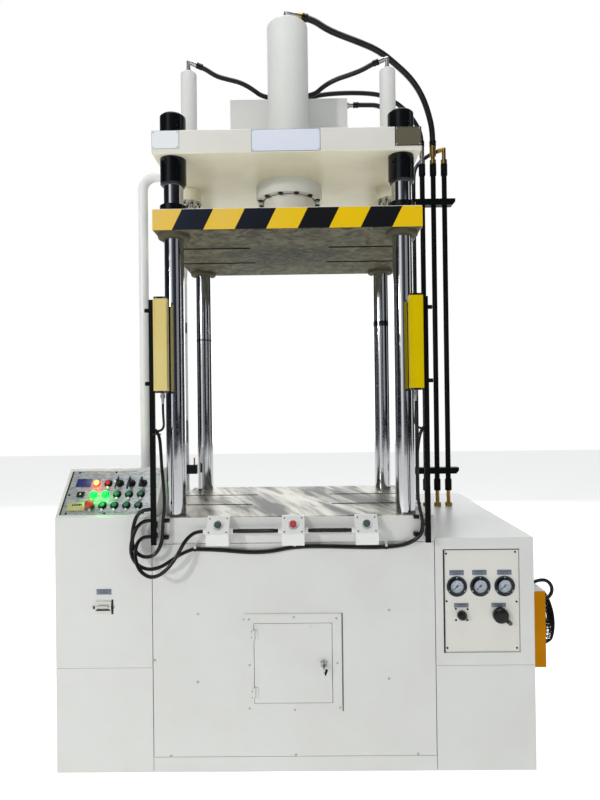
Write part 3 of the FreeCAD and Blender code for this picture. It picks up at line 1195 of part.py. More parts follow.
LOOP_ROUTES = (
    laid(((-546, -431, 1045), (-565, -431, 1045), (-586, -431, 1037), (-603, -432, 1018), (-614, -434, 984),
          (-619, -436, 944), (-618, -437, 904), (-600, -437, 873), (-566, -437, 858), (-531, -436, 868),
          (-509, -434, 900), (-500, -431, 942), (-500, -431, 982)),
         (POST_LEFT, CABLE_Y, TABLE_TOP + 37), (LEFT_CLIP_X, CABLE_Y, CLIP_BASE)),
    laid(((-546, -433, 1002), (-565, -433, 1002), (-584, -437, 994), (-600, -445, 976), (-612, -452, 944),
          (-620, -456, 900), (-612, -458, 860), (-586, -459, 830), (-546, -459, 817), (-502, -456, 826),
          (-460, -446, 852), (-424, -430, 874), (-386, -415, 884)),
         (POST_LEFT, CABLE_Y - 2, TABLE_TOP - 6), JOINT_PLACE),
    laid(((-546, -435, 940), (-570, -435, 940), (-590, -442, 928), (-599, -454, 908), (-600, -466, 876),
          (-591, -474, 842), (-571, -479, 811), (-535, -480, 792), (-496, -479, 804), (-460, -472, 838),
          (-432, -462, 882), (-412, -450, 922), (-386, -437, 948), (-360, -431, 957), (-341, -431, 957)),
         (POST_LEFT, CABLE_Y - 4, TABLE_BASE + 38),
         (BOX_X[0] - BOX_WIDTH / 2 - GLAND_PLUG_LENGTH, GLAND_Y, CONDUIT_Z)))
FRONT_CABLE_ROUTE = laid((
    (-386, -415, 884), (-348, -409, 882), (-280, -409, 879), (-170, -409, 868), (-80, -409, 870),
    (8, -409, 888), (110, -409, 890), (230, -409, 886), (330, -409, 883), (404, -410, 886),
    (452, -414, 895), (490, -424, 916), (515, -431, 948), (515, -431, 982)),
    JOINT_PLACE, (RIGHT_CLIP_X, CABLE_Y, CLIP_BASE))
FAN_LEAD_ROUTE = laid((
    (956, -112, 648), (992, -112, 648), (1034, -112, 642), (1066, -112, 645), (1093, -112, 655),
    (1126, -112, 655), (1150, -112, 630), (1150, -112, 596), (1126, -112, 571), (1092, -112, 571)),
    (BASE_RIGHT, FAN_LEAD_Y, COOLER_BASE + COOLER_HEIGHT + 20),
    (BASE_RIGHT + COOLER_WIDTH, FAN_LEAD_Y, COOLER_BASE + COOLER_HEIGHT - 57))


def curtain_lead(side):
    """Lead hanging from a curtain's plug and turning into the post."""
    route = laid((
        (491, -445, 1458), (491, -445, 1428), (491, -438, 1396), (491, -431, 1366),
        (506.6, -431, 1350.4), (526, -431, 1350.4)),
        (PLUG_X, PLUG_Y, PLUG_BASE), (POST_INNER, POST_MIDDLE_Y, PLUG_BASE - LEAD_DROP))
    return tuple((side * x, y, z) for x, y, z in route)


def cable_clip(x):
    """Moulded clip on the band that takes a cable's upper end."""
    return block(x - CLIP_WIDTH / 2, x + CLIP_WIDTH / 2, FRONT - CLIP_STANDOFF, FRONT,
                 CLIP_BASE, CLIP_BASE + CLIP_HEIGHT)


def machine_cables():
    """Three dressed loops at the left, the cable along the front, curtain leads and the fan lead."""
    solids = [tube("cable_loop_%d" % (i + 1), route, CABLE) for i, route in enumerate(LOOP_ROUTES)]
    solids.append(tube("front_cable", FRONT_CABLE_ROUTE, FRONT_CABLE))
    solids += [tube("curtain_lead_%d" % (i + 1), curtain_lead(side), LEAD) for i, side in enumerate((-1, 1))]
    solids.append(tube("fan_lead", FAN_LEAD_ROUTE, CABLE))
    solids += [cable_clip(x) for x in (LEFT_CLIP_X, RIGHT_CLIP_X)]
    return group(solids)


# ---------------------------------------------------------------- oil cooler
def cooler_axis():
    """Middle of the fan on the cooler's outer face."""
    return COOLER_FRONT + COOLER_DEPTH / 2, COOLER_BASE + COOLER_HEIGHT / 2


def on_cooler(shape, offset=0.0):
    """Carry a shape built about Z onto the cooler's outer face, facing +X."""
    y, z = cooler_axis()
    placed = shape.copy()
    placed.rotate(ORIGIN, vector(0, 1, 0), 90)
    placed.translate(vector(BASE_RIGHT + COOLER_WIDTH + offset, y, z))
    return placed


def oil_cooler():
    """Shroud on the cabinet's side; the motor stands in it on a cross of four arms."""
    x1, x2 = BASE_RIGHT, BASE_RIGHT + COOLER_WIDTH
    y1, y2 = COOLER_FRONT, COOLER_FRONT + COOLER_DEPTH
    z1, z2 = COOLER_BASE, COOLER_BASE + COOLER_HEIGHT
    wall = COOLER_WALL
    shroud = block(x1, x2, y1, y2, z1, z2)
    shroud = shroud.cut(block(x1 + 40, x2 - wall, y1 + wall, y2 - wall, z1 + wall, z2 - wall))
    shroud = shroud.cut(on_cooler(drum(FAN_OPENING_RADIUS, 0, 0, -wall, 0)))
    motor = turned([(4 + RUNNING_FIT, -50), (MOTOR_RADIUS, -50), (MOTOR_RADIUS, -96), (0, -96), (0, -70),
                    (4 + RUNNING_FIT, -70)])
    arms = [block(-COOLER_DEPTH / 2 + wall, COOLER_DEPTH / 2 - wall, -6, 6, -96, -90),
            block(-6, 6, -COOLER_DEPTH / 2 + wall, COOLER_DEPTH / 2 - wall, -96, -90)]
    return shroud.fuse([on_cooler(s) for s in [motor] + arms]).removeSplitter()


def cooler_fan():
    """Axial fan: hub, shaft and pitched blades."""
    hub = turned([(0, -68), (4, -68), (4, -48), (FAN_HUB_RADIUS, -48), (FAN_HUB_RADIUS, -20),
                  (FAN_HUB_RADIUS - 4, -16), (0, -16)])
    fan = hub
    for i in range(FAN_BLADES):
        root = FAN_HUB_RADIUS - 3
        blade = Part.makeBox(FAN_RADIUS - root, 46, 2.5, vector(root, -23, -1.25))
        blade.rotate(ORIGIN, vector(1, 0, 0), 28)
        blade.translate(vector(0, 0, -33))
        blade.rotate(ORIGIN, UP, 360.0 * i / FAN_BLADES)
        fan = fan.fuse(blade)
    return on_cooler(fan.removeSplitter())


def guard_profile():
    """Radius and height of each ring of the guard, from its rim over the shoulder to its flat middle."""
    shares = [i / (GUARD_RINGS - 1) for i in range(GUARD_RINGS)]
    return [(GUARD_RADIUS - share * (GUARD_RADIUS - GUARD_INNER_RADIUS),
             GUARD_HEIGHT * math.sin(min(1.0, share * GUARD_SHOULDER) * math.pi / 2)) for share in shares]


def fan_guard():
    """Wire basket over the fan: flat-laid rings stepped outwards, tied by bent spokes."""
    wire = GUARD_WIRE
    rings = guard_profile()
    parts = [turned([(radius - wire, height), (radius, height), (radius, height + wire),
                     (radius - wire, height + wire)]) for radius, height in rings]
    low = [vector(radius - wire, -wire / 2, height) for radius, height in rings]
    high = [vector(radius, -wire / 2, height + wire) for radius, height in reversed(rings)]
    for i in range(GUARD_SPOKES):
        spoke = Part.Face(Part.makePolygon(low + high + low[:1])).extrude(vector(0, wire, 0))
        spoke.rotate(ORIGIN, UP, 360.0 * i / GUARD_SPOKES)
        parts.append(spoke)
    return on_cooler(parts[0].fuse(parts[1:]).removeSplitter())


# ---------------------------------------------------------------- part files
def build():
    nodes = {
        "base_frame": base_frame(),
        "table": table(),
        "table_cheeks": table_cheeks(),
        "front_cover": front_cover(),
        "left_cabinet": left_cabinet(),
        "right_cabinet": right_cabinet(),
        "gauge_panel": gauge_panel(),
        "columns": columns(),
        "column_nuts": column_nuts(),
        "crown": crown(),
        "main_cylinder": main_cylinder(),
        "cylinder_gland": cylinder_gland(),
        "oil_tank": oil_tank(),
        "return_cylinders": return_cylinders(),
        "hose_fittings": hose_fittings(),
        "hoses": hoses(),
        "riser_pipes": riser_pipes(),
        "pipe_clamps": pipe_clamps(),
        "conduit_riser": conduit_riser(),
        "light_curtains": light_curtains(),
        "curtain_mounts": curtain_mounts(),
        "position_rail": position_rail(),
        "button_boxes": button_boxes(),
        "box_conduits": box_conduits(),
        "machine_cables": machine_cables(),
        "console_housing": console_housing(),
        "console_panel": console_panel(),
        "console_fittings": console_fittings(),
        "gauge_bodies": gauge_bodies(),
        "oil_cooler": oil_cooler(),
        "fan_guard": fan_guard(),
        "breaker": breaker(),
        "slider": slider(),
        "guide_bushes": guide_bushes(),
        "ram": ram(),
        "return_rods": return_rods(),
        "access_door": access_door(),
        "door_lock": door_lock(),
        "start_button_left": box_button(0),
        "front_stop_button": box_button(1),
        "start_button_right": box_button(2),
        "mushroom_stop": mushroom_stop(),
        "red_button": push_button(RED_BUTTON_PLACE),
        "small_knob": small_knob(),
        "valve_lever": valve_lever(),
        "breaker_toggle": breaker_toggle(),
        "cooler_fan": cooler_fan(),
    }
    for i, place in enumerate(GREEN_PLACES):
        nodes["green_button_%d" % (i + 1)] = push_button(place)
    for i, place in enumerate(SELECTOR_PLACES):
        nodes["key_selector_%d" % (i + 1)] = key_selector(place)
    for i, x in enumerate(GAUGE_X):
        nodes["gauge_needle_%d" % (i + 1)] = gauge_needle(x)
    return nodes


os.makedirs("parts", exist_ok=True)
for node, shape in build().items():
    shape.exportStep("parts/%s.step" % node)
    print("%s: %d solid(s), valid %s, volume %.0f mm3" % (
        node, len(shape.Solids), shape.isValid(), shape.Volume))
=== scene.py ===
import bmesh
import bpy
import math
from functools import partial
from mathutils import Matrix, Vector


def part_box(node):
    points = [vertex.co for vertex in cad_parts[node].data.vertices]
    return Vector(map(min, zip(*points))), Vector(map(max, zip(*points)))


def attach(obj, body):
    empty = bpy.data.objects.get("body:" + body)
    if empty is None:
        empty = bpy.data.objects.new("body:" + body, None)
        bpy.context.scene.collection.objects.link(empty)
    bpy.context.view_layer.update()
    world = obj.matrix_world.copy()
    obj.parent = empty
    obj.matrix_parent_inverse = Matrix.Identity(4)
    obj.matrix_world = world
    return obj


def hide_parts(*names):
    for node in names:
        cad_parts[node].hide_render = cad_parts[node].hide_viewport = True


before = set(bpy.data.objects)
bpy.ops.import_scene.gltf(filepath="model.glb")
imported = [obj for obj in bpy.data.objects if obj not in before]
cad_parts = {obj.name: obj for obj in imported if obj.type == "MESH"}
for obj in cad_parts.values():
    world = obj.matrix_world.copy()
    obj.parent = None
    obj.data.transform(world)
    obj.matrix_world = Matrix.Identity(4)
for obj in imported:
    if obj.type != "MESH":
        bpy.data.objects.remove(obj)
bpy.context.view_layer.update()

# ---- sizes, in metres, from the frame
CROWN_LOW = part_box("crown")[0]
SLIDER_LOW, SLIDER_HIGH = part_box("slider")
TABLE_LOW, TABLE_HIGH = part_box("table")
CURTAIN_LOW, CURTAIN_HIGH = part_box("light_curtains")
PANEL_LOW, PANEL_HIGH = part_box("gauge_panel")
RIGHT_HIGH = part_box("right_cabinet")[1]
FRONT = TABLE_LOW.y  # the machine's upright front face
DOOR_FACE = FRONT - 0.003  # door and bezel stand proud of the cover
BODY = "frame"

COLUMN_X, COLUMN_Y = 0.466, 0.335
COLUMNS = [(x, y) for x in (-COLUMN_X, COLUMN_X) for y in (-COLUMN_Y, COLUMN_Y)]
MAIN_FLANGE = CROWN_LOW.z - 0.062  # lower face of the main cylinder's flange
RETURN_FLANGE = 2.399  # and of the return cylinders' flanges
STRIPE_START = -0.417  # left end of the first black bar, at the slider's upper edge
STRIPE_PITCH = 0.2506  # one black and one yellow bar
STRIPE_LEAN = 0.506
DARK_RING_HEIGHTS = (1.79, 1.866)  # dark rings on the left and right rear columns
DARK_RING_HALVES = (0.003, 0.0135)  # and half their widths
PATCH_HALVES = (0.22, 0.15)  # darker patch under the slider, across and deep

CONSOLE_RISE, CONSOLE_RUN = 0.176, 0.162
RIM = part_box("console_housing")[1].z - CONSOLE_RISE  # lower edge of the console's slope
SLOPE = math.atan2(CONSOLE_RISE, CONSOLE_RUN)
CONSOLE_COLUMNS = [-0.809 + 0.0485 * i for i in range(5)]
CONSOLE_ROWS = (0.162, 0.108, 0.055)
CONSOLE_GRID = [(column, row, x, v) for row, v in enumerate(CONSOLE_ROWS) for column, x in enumerate(CONSOLE_COLUMNS)]
RED_LAMP, GREEN_LAMPS = (0, 0), ((0, 1), (1, 1))  # column and row
BOX_X = (-0.283, 0.01, 0.296)  # the three button boxes
BOX_FOOT = (FRONT - 0.062, 0.95)  # y and z of the foot of their sloped faces
BOX_SLOPE = math.atan2(0.062, 0.05)
GAUGE_FACE = FRONT + 0.002  # the gauge panel's skin
GAUGE_X, GAUGE_Z = (0.653, 0.745, 0.841), 0.723
KNOB_X, VALVE_X, KNOB_Z = 0.671, 0.822, 0.61
BREAKER_X = -0.747
DOOR_LOCK = (0.124, 0.4235)
COOLER_TOP = 0.628
FAN_FACE = (1.092, -0.015, 0.464)
PLUG_TOP = CURTAIN_LOW.z + 0.042
CURTAIN_X, PLUG_X = 0.496, 0.491
CABLE_Y = -0.431  # the plane of the posts, the conduits and most cables


# ---- small tools
def linear(hex_colour):
    """sRGB hex to the linear values of shaders."""
    parts = [int(hex_colour[i:i + 2], 16) / 255 for i in (1, 3, 5)]
    return tuple(c / 12.92 if c <= 0.04045 else ((c + 0.055) / 1.055) ** 2.4 for c in parts) + (1,)


def lead(tree, value, socket):
    """Put a number, a hex colour, an output or a node on an input."""
    if isinstance(value, bpy.types.Node):
        value = next(output for output in value.outputs if output.enabled)
    if isinstance(value, bpy.types.NodeSocket):
        tree.links.new(value, socket)
    else:
        socket.default_value = linear(value) if isinstance(value, str) else value


def add_node(tree, kind, *values, **settings):
    """One node: values go on its open inputs in order, capital names are inputs, the rest are its settings."""
    node = tree.nodes.new("ShaderNode" + kind)
    if kind == "Mix":
        node.data_type = "RGBA"
    for key, value in settings.items():
        if key[0].islower():
            setattr(node, key, value)
    for socket, value in zip([socket for socket in node.inputs if socket.enabled], values):
        lead(tree, value, socket)
    for key, value in settings.items():
        if key[0].isupper():
            lead(tree, value, node.inputs[key])
    return node


def finish(material, **values):
    """Values or nodes for a material's shader."""
    shader = material.node_tree.nodes["Principled BSDF"]
    for socket, value in values.items():
        lead(material.node_tree, value, shader.inputs[socket.replace("_", " ")])
    return material


def blank(name, **values):
    """New material with these values, what adds a node to it, and the place on the object."""
    material = bpy.data.materials.new(name)
    material.use_nodes = True
    add = partial(add_node, material.node_tree)
    return finish(material, **values), add, add("TexCoord").outputs["Object"]


def shift(x, y, z):
    return Matrix.Translation((x, y, z))


def spun(angle, axis="Z"):
    return Matrix.Rotation(angle, 4, axis)


def round_spot(radius, degrees, height=0):
    """Spot on a circle about z."""
    angle = math.radians(degrees)
    return shift(radius * math.cos(angle), radius * math.sin(angle), height)


def aimed(place, way, axis="Z"):
    """Local axis along a way, at a place."""
    return Matrix.Translation(place) @ way.to_track_quat(axis, "Y").to_matrix().to_4x4()


def on_front(x, z, y=FRONT):
    """A point of an upright front: x to the right, y up and z towards the operator."""
    return shift(x, y, z) @ spun(math.pi / 2, "X")


def on_console(x, up_slope):
    """A point of the console's slope: x to the right, y up it and z out of it."""
    place = shift(x, FRONT + up_slope * math.cos(SLOPE), RIM + up_slope * math.sin(SLOPE))
    return place @ spun(SLOPE, "X")


def on_box(x, up_slope):
    """The same on a button box's slope."""
    y, z = BOX_FOOT
    return shift(x, y + up_slope * math.cos(BOX_SLOPE), z + up_slope * math.sin(BOX_SLOPE)) @ spun(BOX_SLOPE, "X")


def show(name, data):
    """Object in the scene."""
    thing = bpy.data.objects.new(name, data)
    bpy.context.scene.collection.objects.link(thing)
    return thing


def settle(name, shape, *materials, body=BODY):
    """Make a bmesh a piece that rides on a body, smooth but for its edges."""
    mesh = bpy.data.meshes.new(name)
    bmesh.ops.recalc_face_normals(shape, faces=shape.faces)
    shape.to_mesh(mesh)
    shape.free()
    for polygon in mesh.polygons:
        polygon.use_smooth = True
    mesh.set_sharp_from_angle(angle=math.radians(35))
    for material in materials:
        mesh.materials.append(material)
    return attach(show(name, mesh), body)


def once(parts):
    """Each part of a mesh once, in order."""
    return list(dict.fromkeys(parts))


def bar(shape, place, width, height, depth, edge=0, slot=0):
    """Rounded bar with the middle of its back at place."""
    size = Matrix.Diagonal((width, height, depth, 1))
    made = bmesh.ops.create_cube(shape, size=1, matrix=place @ shift(0, 0, depth / 2) @ size)
    faces = once(f for v in made["verts"] for f in v.link_faces)
    for face in faces:
        face.material_index = slot
    if edge:
        bmesh.ops.bevel(shape, geom=once(e for f in faces for e in f.edges), offset=edge, affect="EDGES", segments=2,
            profile=0.5, material=-1)


def turned(shape, place, profile, steps=32, slot=0):
    """Spin a (radius, height) profile about the place's own z."""
    points = [shape.verts.new((r, 0, z)) for r, z in profile]
    edges = [shape.edges.new(pair) for pair in zip(points, points[1:])]
    known = set(shape.faces)
    bmesh.ops.spin(shape, geom=points + edges, axis=(0, 0, 1), cent=(0, 0, 0), angle=2 * math.pi, steps=steps,
        use_merge=True)
    for made in range(2):
        faces = [f for f in shape.faces if f not in known]
        corners = once(v for f in faces for v in f.verts)
        if made == 0:
            bmesh.ops.remove_doubles(shape, verts=corners, dist=1e-6)
    for face in faces:
        face.material_index = slot
    bmesh.ops.transform(shape, matrix=place, verts=corners)


def screw(shape, place, radius=0.005, height=0.0022, slot=0, recess=True):
    """Screw head, with its recess or without."""
    profile = [(0, height), (radius * 0.55, height * 0.92), (radius * 0.9, height * 0.5), (radius, 0)]
    if recess:
        profile = [(0, height * 0.45), (radius * 0.38, height * 0.45), (radius * 0.42, height),
            (radius * 0.8, height), (radius, height * 0.55), (radius, 0)]
    turned(shape, place, profile, steps=16, slot=slot)


def ring(shape, place, inner, outer, low, high, steps=48, slot=0):
    """Flat ring or sleeve about the place's own z."""
    turned(shape, place, [(inner, low), (outer, low), (outer, high), (inner, high), (inner, low)], steps, slot)


def disc(shape, place, radius, low, high, steps=48, slot=0):
    """Closed disc or stud about the place's own z."""
    turned(shape, place, [(0, low), (radius, low), (radius, high), (0, high)], steps, slot)


def lettering(shape, place, words, size, slot=0):
    """Plain figures printed on a face, from the font's outline."""
    curve = bpy.data.curves.new("figures", "FONT")
    curve.body = words
    curve.size = size
    curve.align_x, curve.align_y = "CENTER", "CENTER"
    curve.extrude = 0.00008
    curve.resolution_u = 2
    holder = bpy.data.objects.new("figures", curve)
    mesh = bpy.data.meshes.new_from_object(holder)
    mesh.transform(place)
    known = set(shape.faces)
    shape.from_mesh(mesh)
    for face in shape.faces:
        if face not in known:
            face.material_index = slot
    bpy.data.objects.remove(holder)
    bpy.data.curves.remove(curve)
    bpy.data.meshes.remove(mesh)


def strap(shape, place, radius, width, thickness, degrees, slot=0):
    """Flat strap that starts at the place and curls down round its x."""
    made = bmesh.ops.create_grid(shape, x_segments=1, y_segments=1, size=0.5,
        matrix=spun(math.pi / 2, "X") @ Matrix.Diagonal((width, thickness, 1, 1)))
    known = set(shape.faces)
    faces = once(f for v in made["verts"] for f in v.link_faces)
    bmesh.ops.spin(shape, geom=faces, axis=(1, 0, 0), cent=(0, 0, -radius), angle=math.radians(degrees), steps=8)
    mine = [f for f in shape.faces if f not in known] + [f for f in faces if f.is_valid]
    bmesh.ops.transform(shape, matrix=place, verts=once(v for f in mine for v in f.verts))
    for face in mine:
        face.material_index = slot


# ---- materials
def sprayed_enamel(name, colour, roughness=0.38, dirt="#8A8470", dirt_share=0.1, gloss=0.5):
    """Enamel sprayed on steel: a little orange peel, faint handling dirt."""
    material, add, place = blank(name, Roughness=roughness, IOR=1.5, Specular_IOR_Level=gloss)
    peel = add("TexNoise", place, Scale=260)
    cloud = add("TexNoise", place, Scale=3.2, Detail=6, Roughness=0.62)
    share = add("MapRange", cloud, 0.42, 0.78, 0, dirt_share)
    tint = add("Mix", share, colour, dirt)
    bump = add("Bump", Height=peel, Strength=0.05, Distance=0.0006)
    return finish(material, Base_Color=tint, Normal=bump)


def hazard_enamel():
    """Yellow and black bars sprayed on the slider's edge; towards the left end the yellow turns paler and the black
    bluer: painted glare from the lamp at the left.
    """
    material, add, place = blank("hazard_enamel", Roughness=0.42, IOR=1.5, Specular_IOR_Level=0.25)
    split = add("SeparateXYZ", place).outputs
    lean = add("Math", split["Z"], STRIPE_LEAN, operation="MULTIPLY")
    along = add("Math", split["X"], lean, operation="SUBTRACT")
    phase = add("Math", along, STRIPE_START - STRIPE_LEAN * SLIDER_HIGH.z, operation="SUBTRACT")
    turns = add("Math", phase, STRIPE_PITCH, operation="DIVIDE")
    fraction = add("Math", turns, operation="FRACT")
    yellow = add("Math", fraction, 0.5, operation="GREATER_THAN")
    # Painted glare: paler yellow and bluer black towards the left end, broken up by noise.
    glare_spread = add("MapRange", split["X"], -0.56, 0.1, 0.9, 0)
    glare_breakup = add("TexNoise", place, Scale=9, Detail=5)
    glare = add("Math", glare_spread, glare_breakup, operation="MULTIPLY")
    glare = add("Math", glare, 1.9, operation="MULTIPLY", use_clamp=True)
    paint = add("Mix", glare, "#E6BE00", "#E0BC62")
    dark = add("Mix", glare, "#05070C", "#101A30")
    both = add("Mix", yellow, dark, paint)
    return finish(material, Base_Color=both)


def scraped_platen():
    """Slider's underside: dull oiled steel, hand-scraped, darkened past its own tone as painted shade under the
    slider, and darker still in a patch in the middle.
    """
    material, add, place = blank("scraped_platen_steel", Roughness=0.7, Specular_IOR_Level=0.2)
    cloud = add("TexNoise", place, Scale=11, Detail=8, Roughness=0.7, Distortion=1.6)
    base = add("MapRange", cloud, 0.4, 0.6)
    # Dark tint: the oiled steel's own tone, darkened further as painted shade.
    tint = add("Mix", base, "#66624A", "#343124")
    split = add("SeparateXYZ", place).outputs
    across = add("Math", split["X"], PATCH_HALVES[0], operation="DIVIDE")
    deep = add("Math", split["Y"], PATCH_HALVES[1], operation="DIVIDE")
    away = add("CombineXYZ", across, deep)
    reach = add("VectorMath", away, operation="LENGTH")
    inside = add("MapRange", reach, 0.55, 1.5, 1, 0)
    drawn = add("Mapping", place, Scale=(14, 30, 1))
    blots = add("TexNoise", drawn, Scale=3, Detail=6, Roughness=0.75)
    strong = add("MapRange", blots, 0.42, 0.54)
    middle_patch = add("Math", strong, inside, operation="MULTIPLY")
    tint = add("Mix", middle_patch, tint, "#1E1C14")
    return finish(material, Base_Color=tint)


def ground_table_steel():
    """Table top: ground bright steel with slanting dark streaks, partly oil stains and partly painted shadows and
    reflections.
    """
    material, add, place = blank("ground_table_steel", Metallic=0.8)
    slant = add("Mapping", place, Rotation=(0, 0, -1.23), Scale=(0.9, 0.13, 1), vector_type="TEXTURE")
    cloud = add("TexNoise", slant, Scale=1.5, Detail=6, Roughness=0.62, Distortion=0.4)
    # Slanting streaks: oil stains and painted shadows and reflections.
    oil = add("MapRange", cloud, 0.43, 0.6, 0, 0.92)
    tint = add("Mix", oil, "#A29F92", "#1C1B16")
    rough = add("MapRange", cloud, 0.3, 0.7, 0.36, 0.52)
    return finish(material, Base_Color=tint, Roughness=rough)


def hard_chrome():
    """Hard chrome, polished: a near mirror, with dark rings on the rear columns."""
    material, add, place = blank("hard_chrome", Metallic=1)
    split = add("SeparateXYZ", place).outputs
    rub = add("TexNoise", place, Scale=30, Detail=3)
    rough = add("MapRange", rub, 0.3, 0.7, 0.07, 0.12)
    rear = add("Math", split["Y"], 0, operation="GREATER_THAN")
    right = add("Math", split["X"], 0, operation="GREATER_THAN")
    middle = add("MapRange", right, 0, 1, *DARK_RING_HEIGHTS)
    half = add("MapRange", right, 0, 1, *DARK_RING_HALVES)
    apart = add("Math", split["Z"], middle, operation="SUBTRACT")
    distance = add("Math", apart, operation="ABSOLUTE")
    inside = add("Math", distance, half, operation="LESS_THAN")
    dark_ring = add("Math", inside, rear, operation="MULTIPLY")
    tint = add("Mix", dark_ring, "#C9CACC", "#4A4A4C")
    return finish(material, Base_Color=tint, Roughness=rough)


def window_glass():
    """Flat crystal over a dial, almost clear, a few smudges."""
    material, add, place = blank("gauge_crystal", Roughness=0.06, IOR=1.5)
    smear = add("TexNoise", place, Scale=60, Detail=3)
    return finish(material, Alpha=add("MapRange", smear, 0.4, 0.8, 0.06, 0.16))


def oiled_metal(name, colour, roughness, metallic=1):
    """Bare or plated metal, finely tooled, with a trace of oil."""
    material, add, place = blank(name, Metallic=metallic)
    fine = add("TexNoise", place, Scale=180)
    rough = add("MapRange", fine, 0.3, 0.7, roughness * 0.8, roughness * 1.3)
    shade = add("MapRange", fine, 0.3, 0.7, 0, 0.35)
    tint = add("Mix", shade, colour, "#1A1816")
    return finish(material, Base_Color=tint, Roughness=rough)


def brushed_aluminium(name, colour, along, depth=0.22):
    """Anodised sheet, brushed in fine straight lines along its length."""
    material, add, place = blank(name, Metallic=0.85)
    stretch = add("Mapping", place, Scale=along)
    lines = add("TexNoise", stretch, Scale=10, Detail=3)
    rough = add("MapRange", lines, 0.3, 0.7, 0.32, 0.46)
    shade = add("MapRange", lines, 0.3, 0.7, 0, depth)
    tint = add("Mix", shade, colour, "#6E7271")
    return finish(material, Base_Color=tint, Roughness=rough)


def moulded(name, colour, roughness=0.45, grain=420, strength=0.08, dust_share=0.05, gloss=0.5):
    """Moulded plastic or rubber: fine tool texture, settled dust."""
    material, add, place = blank(name, Roughness=roughness, IOR=1.49, Specular_IOR_Level=gloss)
    fine = add("TexNoise", place, Scale=grain)
    cloud = add("TexNoise", place, Scale=14, Detail=3)
    dust = add("MapRange", cloud, 0.4, 0.75, 0, dust_share)
    tint = add("Mix", dust, colour, "#9A968C")
    bump = add("Bump", Height=fine, Strength=strength, Distance=0.0003)
    return finish(material, Base_Color=tint, Normal=bump)


def printed(name, colour, roughness=0.5):
    """Film, ink, card or a soft joint: no grain."""
    return moulded(name, colour, roughness, strength=0)


def lit_lens(name, colour, glow, strength):
    """Polycarbonate lens with its lamp on behind it."""
    material, add, place = blank(name, Roughness=0.18, IOR=1.58, Emission_Strength=strength)
    fine = add("TexNoise", place, Scale=90, Detail=1)
    tint = add("Mix", fine, colour, glow)
    return finish(material, Base_Color=tint, Emission_Color=tint)


# The two bezel materials make the rings round lit lamps glow: painted lamp glow on parts that are no lamps.
red_halo = lit_lens("red_lit_bezel", "#FF3A20", "#FF6A50", 0.7)
green_halo = lit_lens("green_lit_bezel", "#00D850", "#30F080", 0.8)
green_lens = lit_lens("lit_green_lens", "#00E43C", "#00FF54", 1.5)
red_lens = lit_lens("lit_red_lens", "#FF5038", "#FFE888", 1.6)
ivory = sprayed_enamel("ivory_enamel", "#D8D9D6")
warm_ivory = sprayed_enamel("warm_ivory_enamel", "#DCDBD4")
# Underside enamel: beige and blotched, painted warm bounce light and shade under the crown; its blotches are painted
# shadow streaks.
shaded_ivory = sprayed_enamel("underside_painted_shade_ivory_enamel", "#DCD8C2", dirt="#8F8866", dirt_share=0.3)
white = sprayed_enamel("white_enamel", "#E6E7E5", dirt_share=0.06)
orange = sprayed_enamel("orange_enamel", "#CE8600", 0.45, dirt="#8A5200", dirt_share=0.3, gloss=0.04)
yellow = sprayed_enamel("yellow_enamel", "#D2B800", 0.4, dirt="#BEA000", dirt_share=0.3, gloss=0.05)
# Paler yellow for the left sensor bar and its ribs: painted glare from the lamp at the left.
left_glare_yellow = sprayed_enamel("left_glare_yellow_enamel", "#D6C47C", 0.45, dirt="#C8B050", dirt_share=0.5)
black_enamel = sprayed_enamel("black_enamel", "#08090A", 0.45, dirt="#1E1E1D", dirt_share=0.15, gloss=0.08)
blue_plate = sprayed_enamel("pale_blue_plate", "#DCE2EE", 0.3, dirt_share=0.05)
bare_plate = sprayed_enamel("white_name_plate", "#E4E7EA", dirt_share=0.04)
bronze_plate = sprayed_enamel("bronze_brown_plate", "#5F5A4A", 0.35, dirt="#4A463A")
tag_plate = sprayed_enamel("slate_blue_tag_plate", "#667284", 0.35)
pale_zinc = sprayed_enamel("galvanised_lid", "#ECEDEC", 0.5)
wiper_felt = sprayed_enamel("oil_stained_wiper", "#4A4736", 0.7, dirt_share=0.2, gloss=0.1)
hazard = hazard_enamel()
table_steel = ground_table_steel()
slider_steel = scraped_platen()
chrome = hard_chrome()
crystal = window_glass()
black_oxide = oiled_metal("black_oxide_steel", "#0E1116", 0.2, metallic=0.5)
dull_steel = oiled_metal("oiled_dark_steel", "#2C2A24", 0.6, metallic=0.1)
zinc = oiled_metal("zinc_plated_steel", "#B9BBBA", 0.3)
brass = oiled_metal("nickel_brass", "#B9985A", 0.26)
polished_black = oiled_metal("polished_black_bezel", "#30343C", 0.12)
pale_chrome = oiled_metal("bright_zinc", "#E2E4E6", 0.4, metallic=0.6)
aluminium = brushed_aluminium("mill_aluminium", "#BFC1C0", (160, 160, 2))
panel_aluminium = brushed_aluminium("brushed_panel_aluminium", "#B6BBBB", (5, 26, 26), depth=0.9)
rubber = moulded("hose_rubber", "#0A0B0D", 0.38, grain=300, gloss=0.35, dust_share=0.02)
sheath = moulded("pvc_cable_sheath", "#050608", 0.22, gloss=0.3, dust_share=0.01)
black_plastic = moulded("black_nylon", "#0A0B0D", 0.3, gloss=0.25, dust_share=0.02)
white_plastic = moulded("white_nylon", "#DDDDD8", 0.4)
pale_plastic = moulded("pale_grey_breaker_case", "#D2D2CC", 0.4)
cream_plastic = moulded("cream_counter_case", "#B0A678", 0.4)
green_plastic = moulded("green_button_cap", "#066A46", 0.25, strength=0.02)
dark_green_plastic = moulded("dark_green_start_cap", "#06382A", 0.25, strength=0.02)
red_plastic = moulded("red_button_cap", "#B00A12", 0.25, strength=0.02)
mushroom_red = moulded("mushroom_head_red", "#C23020", 0.35, strength=0.02)
deep_blue = moulded("blue_film_plate", "#16236A", 0.3, strength=0.02)
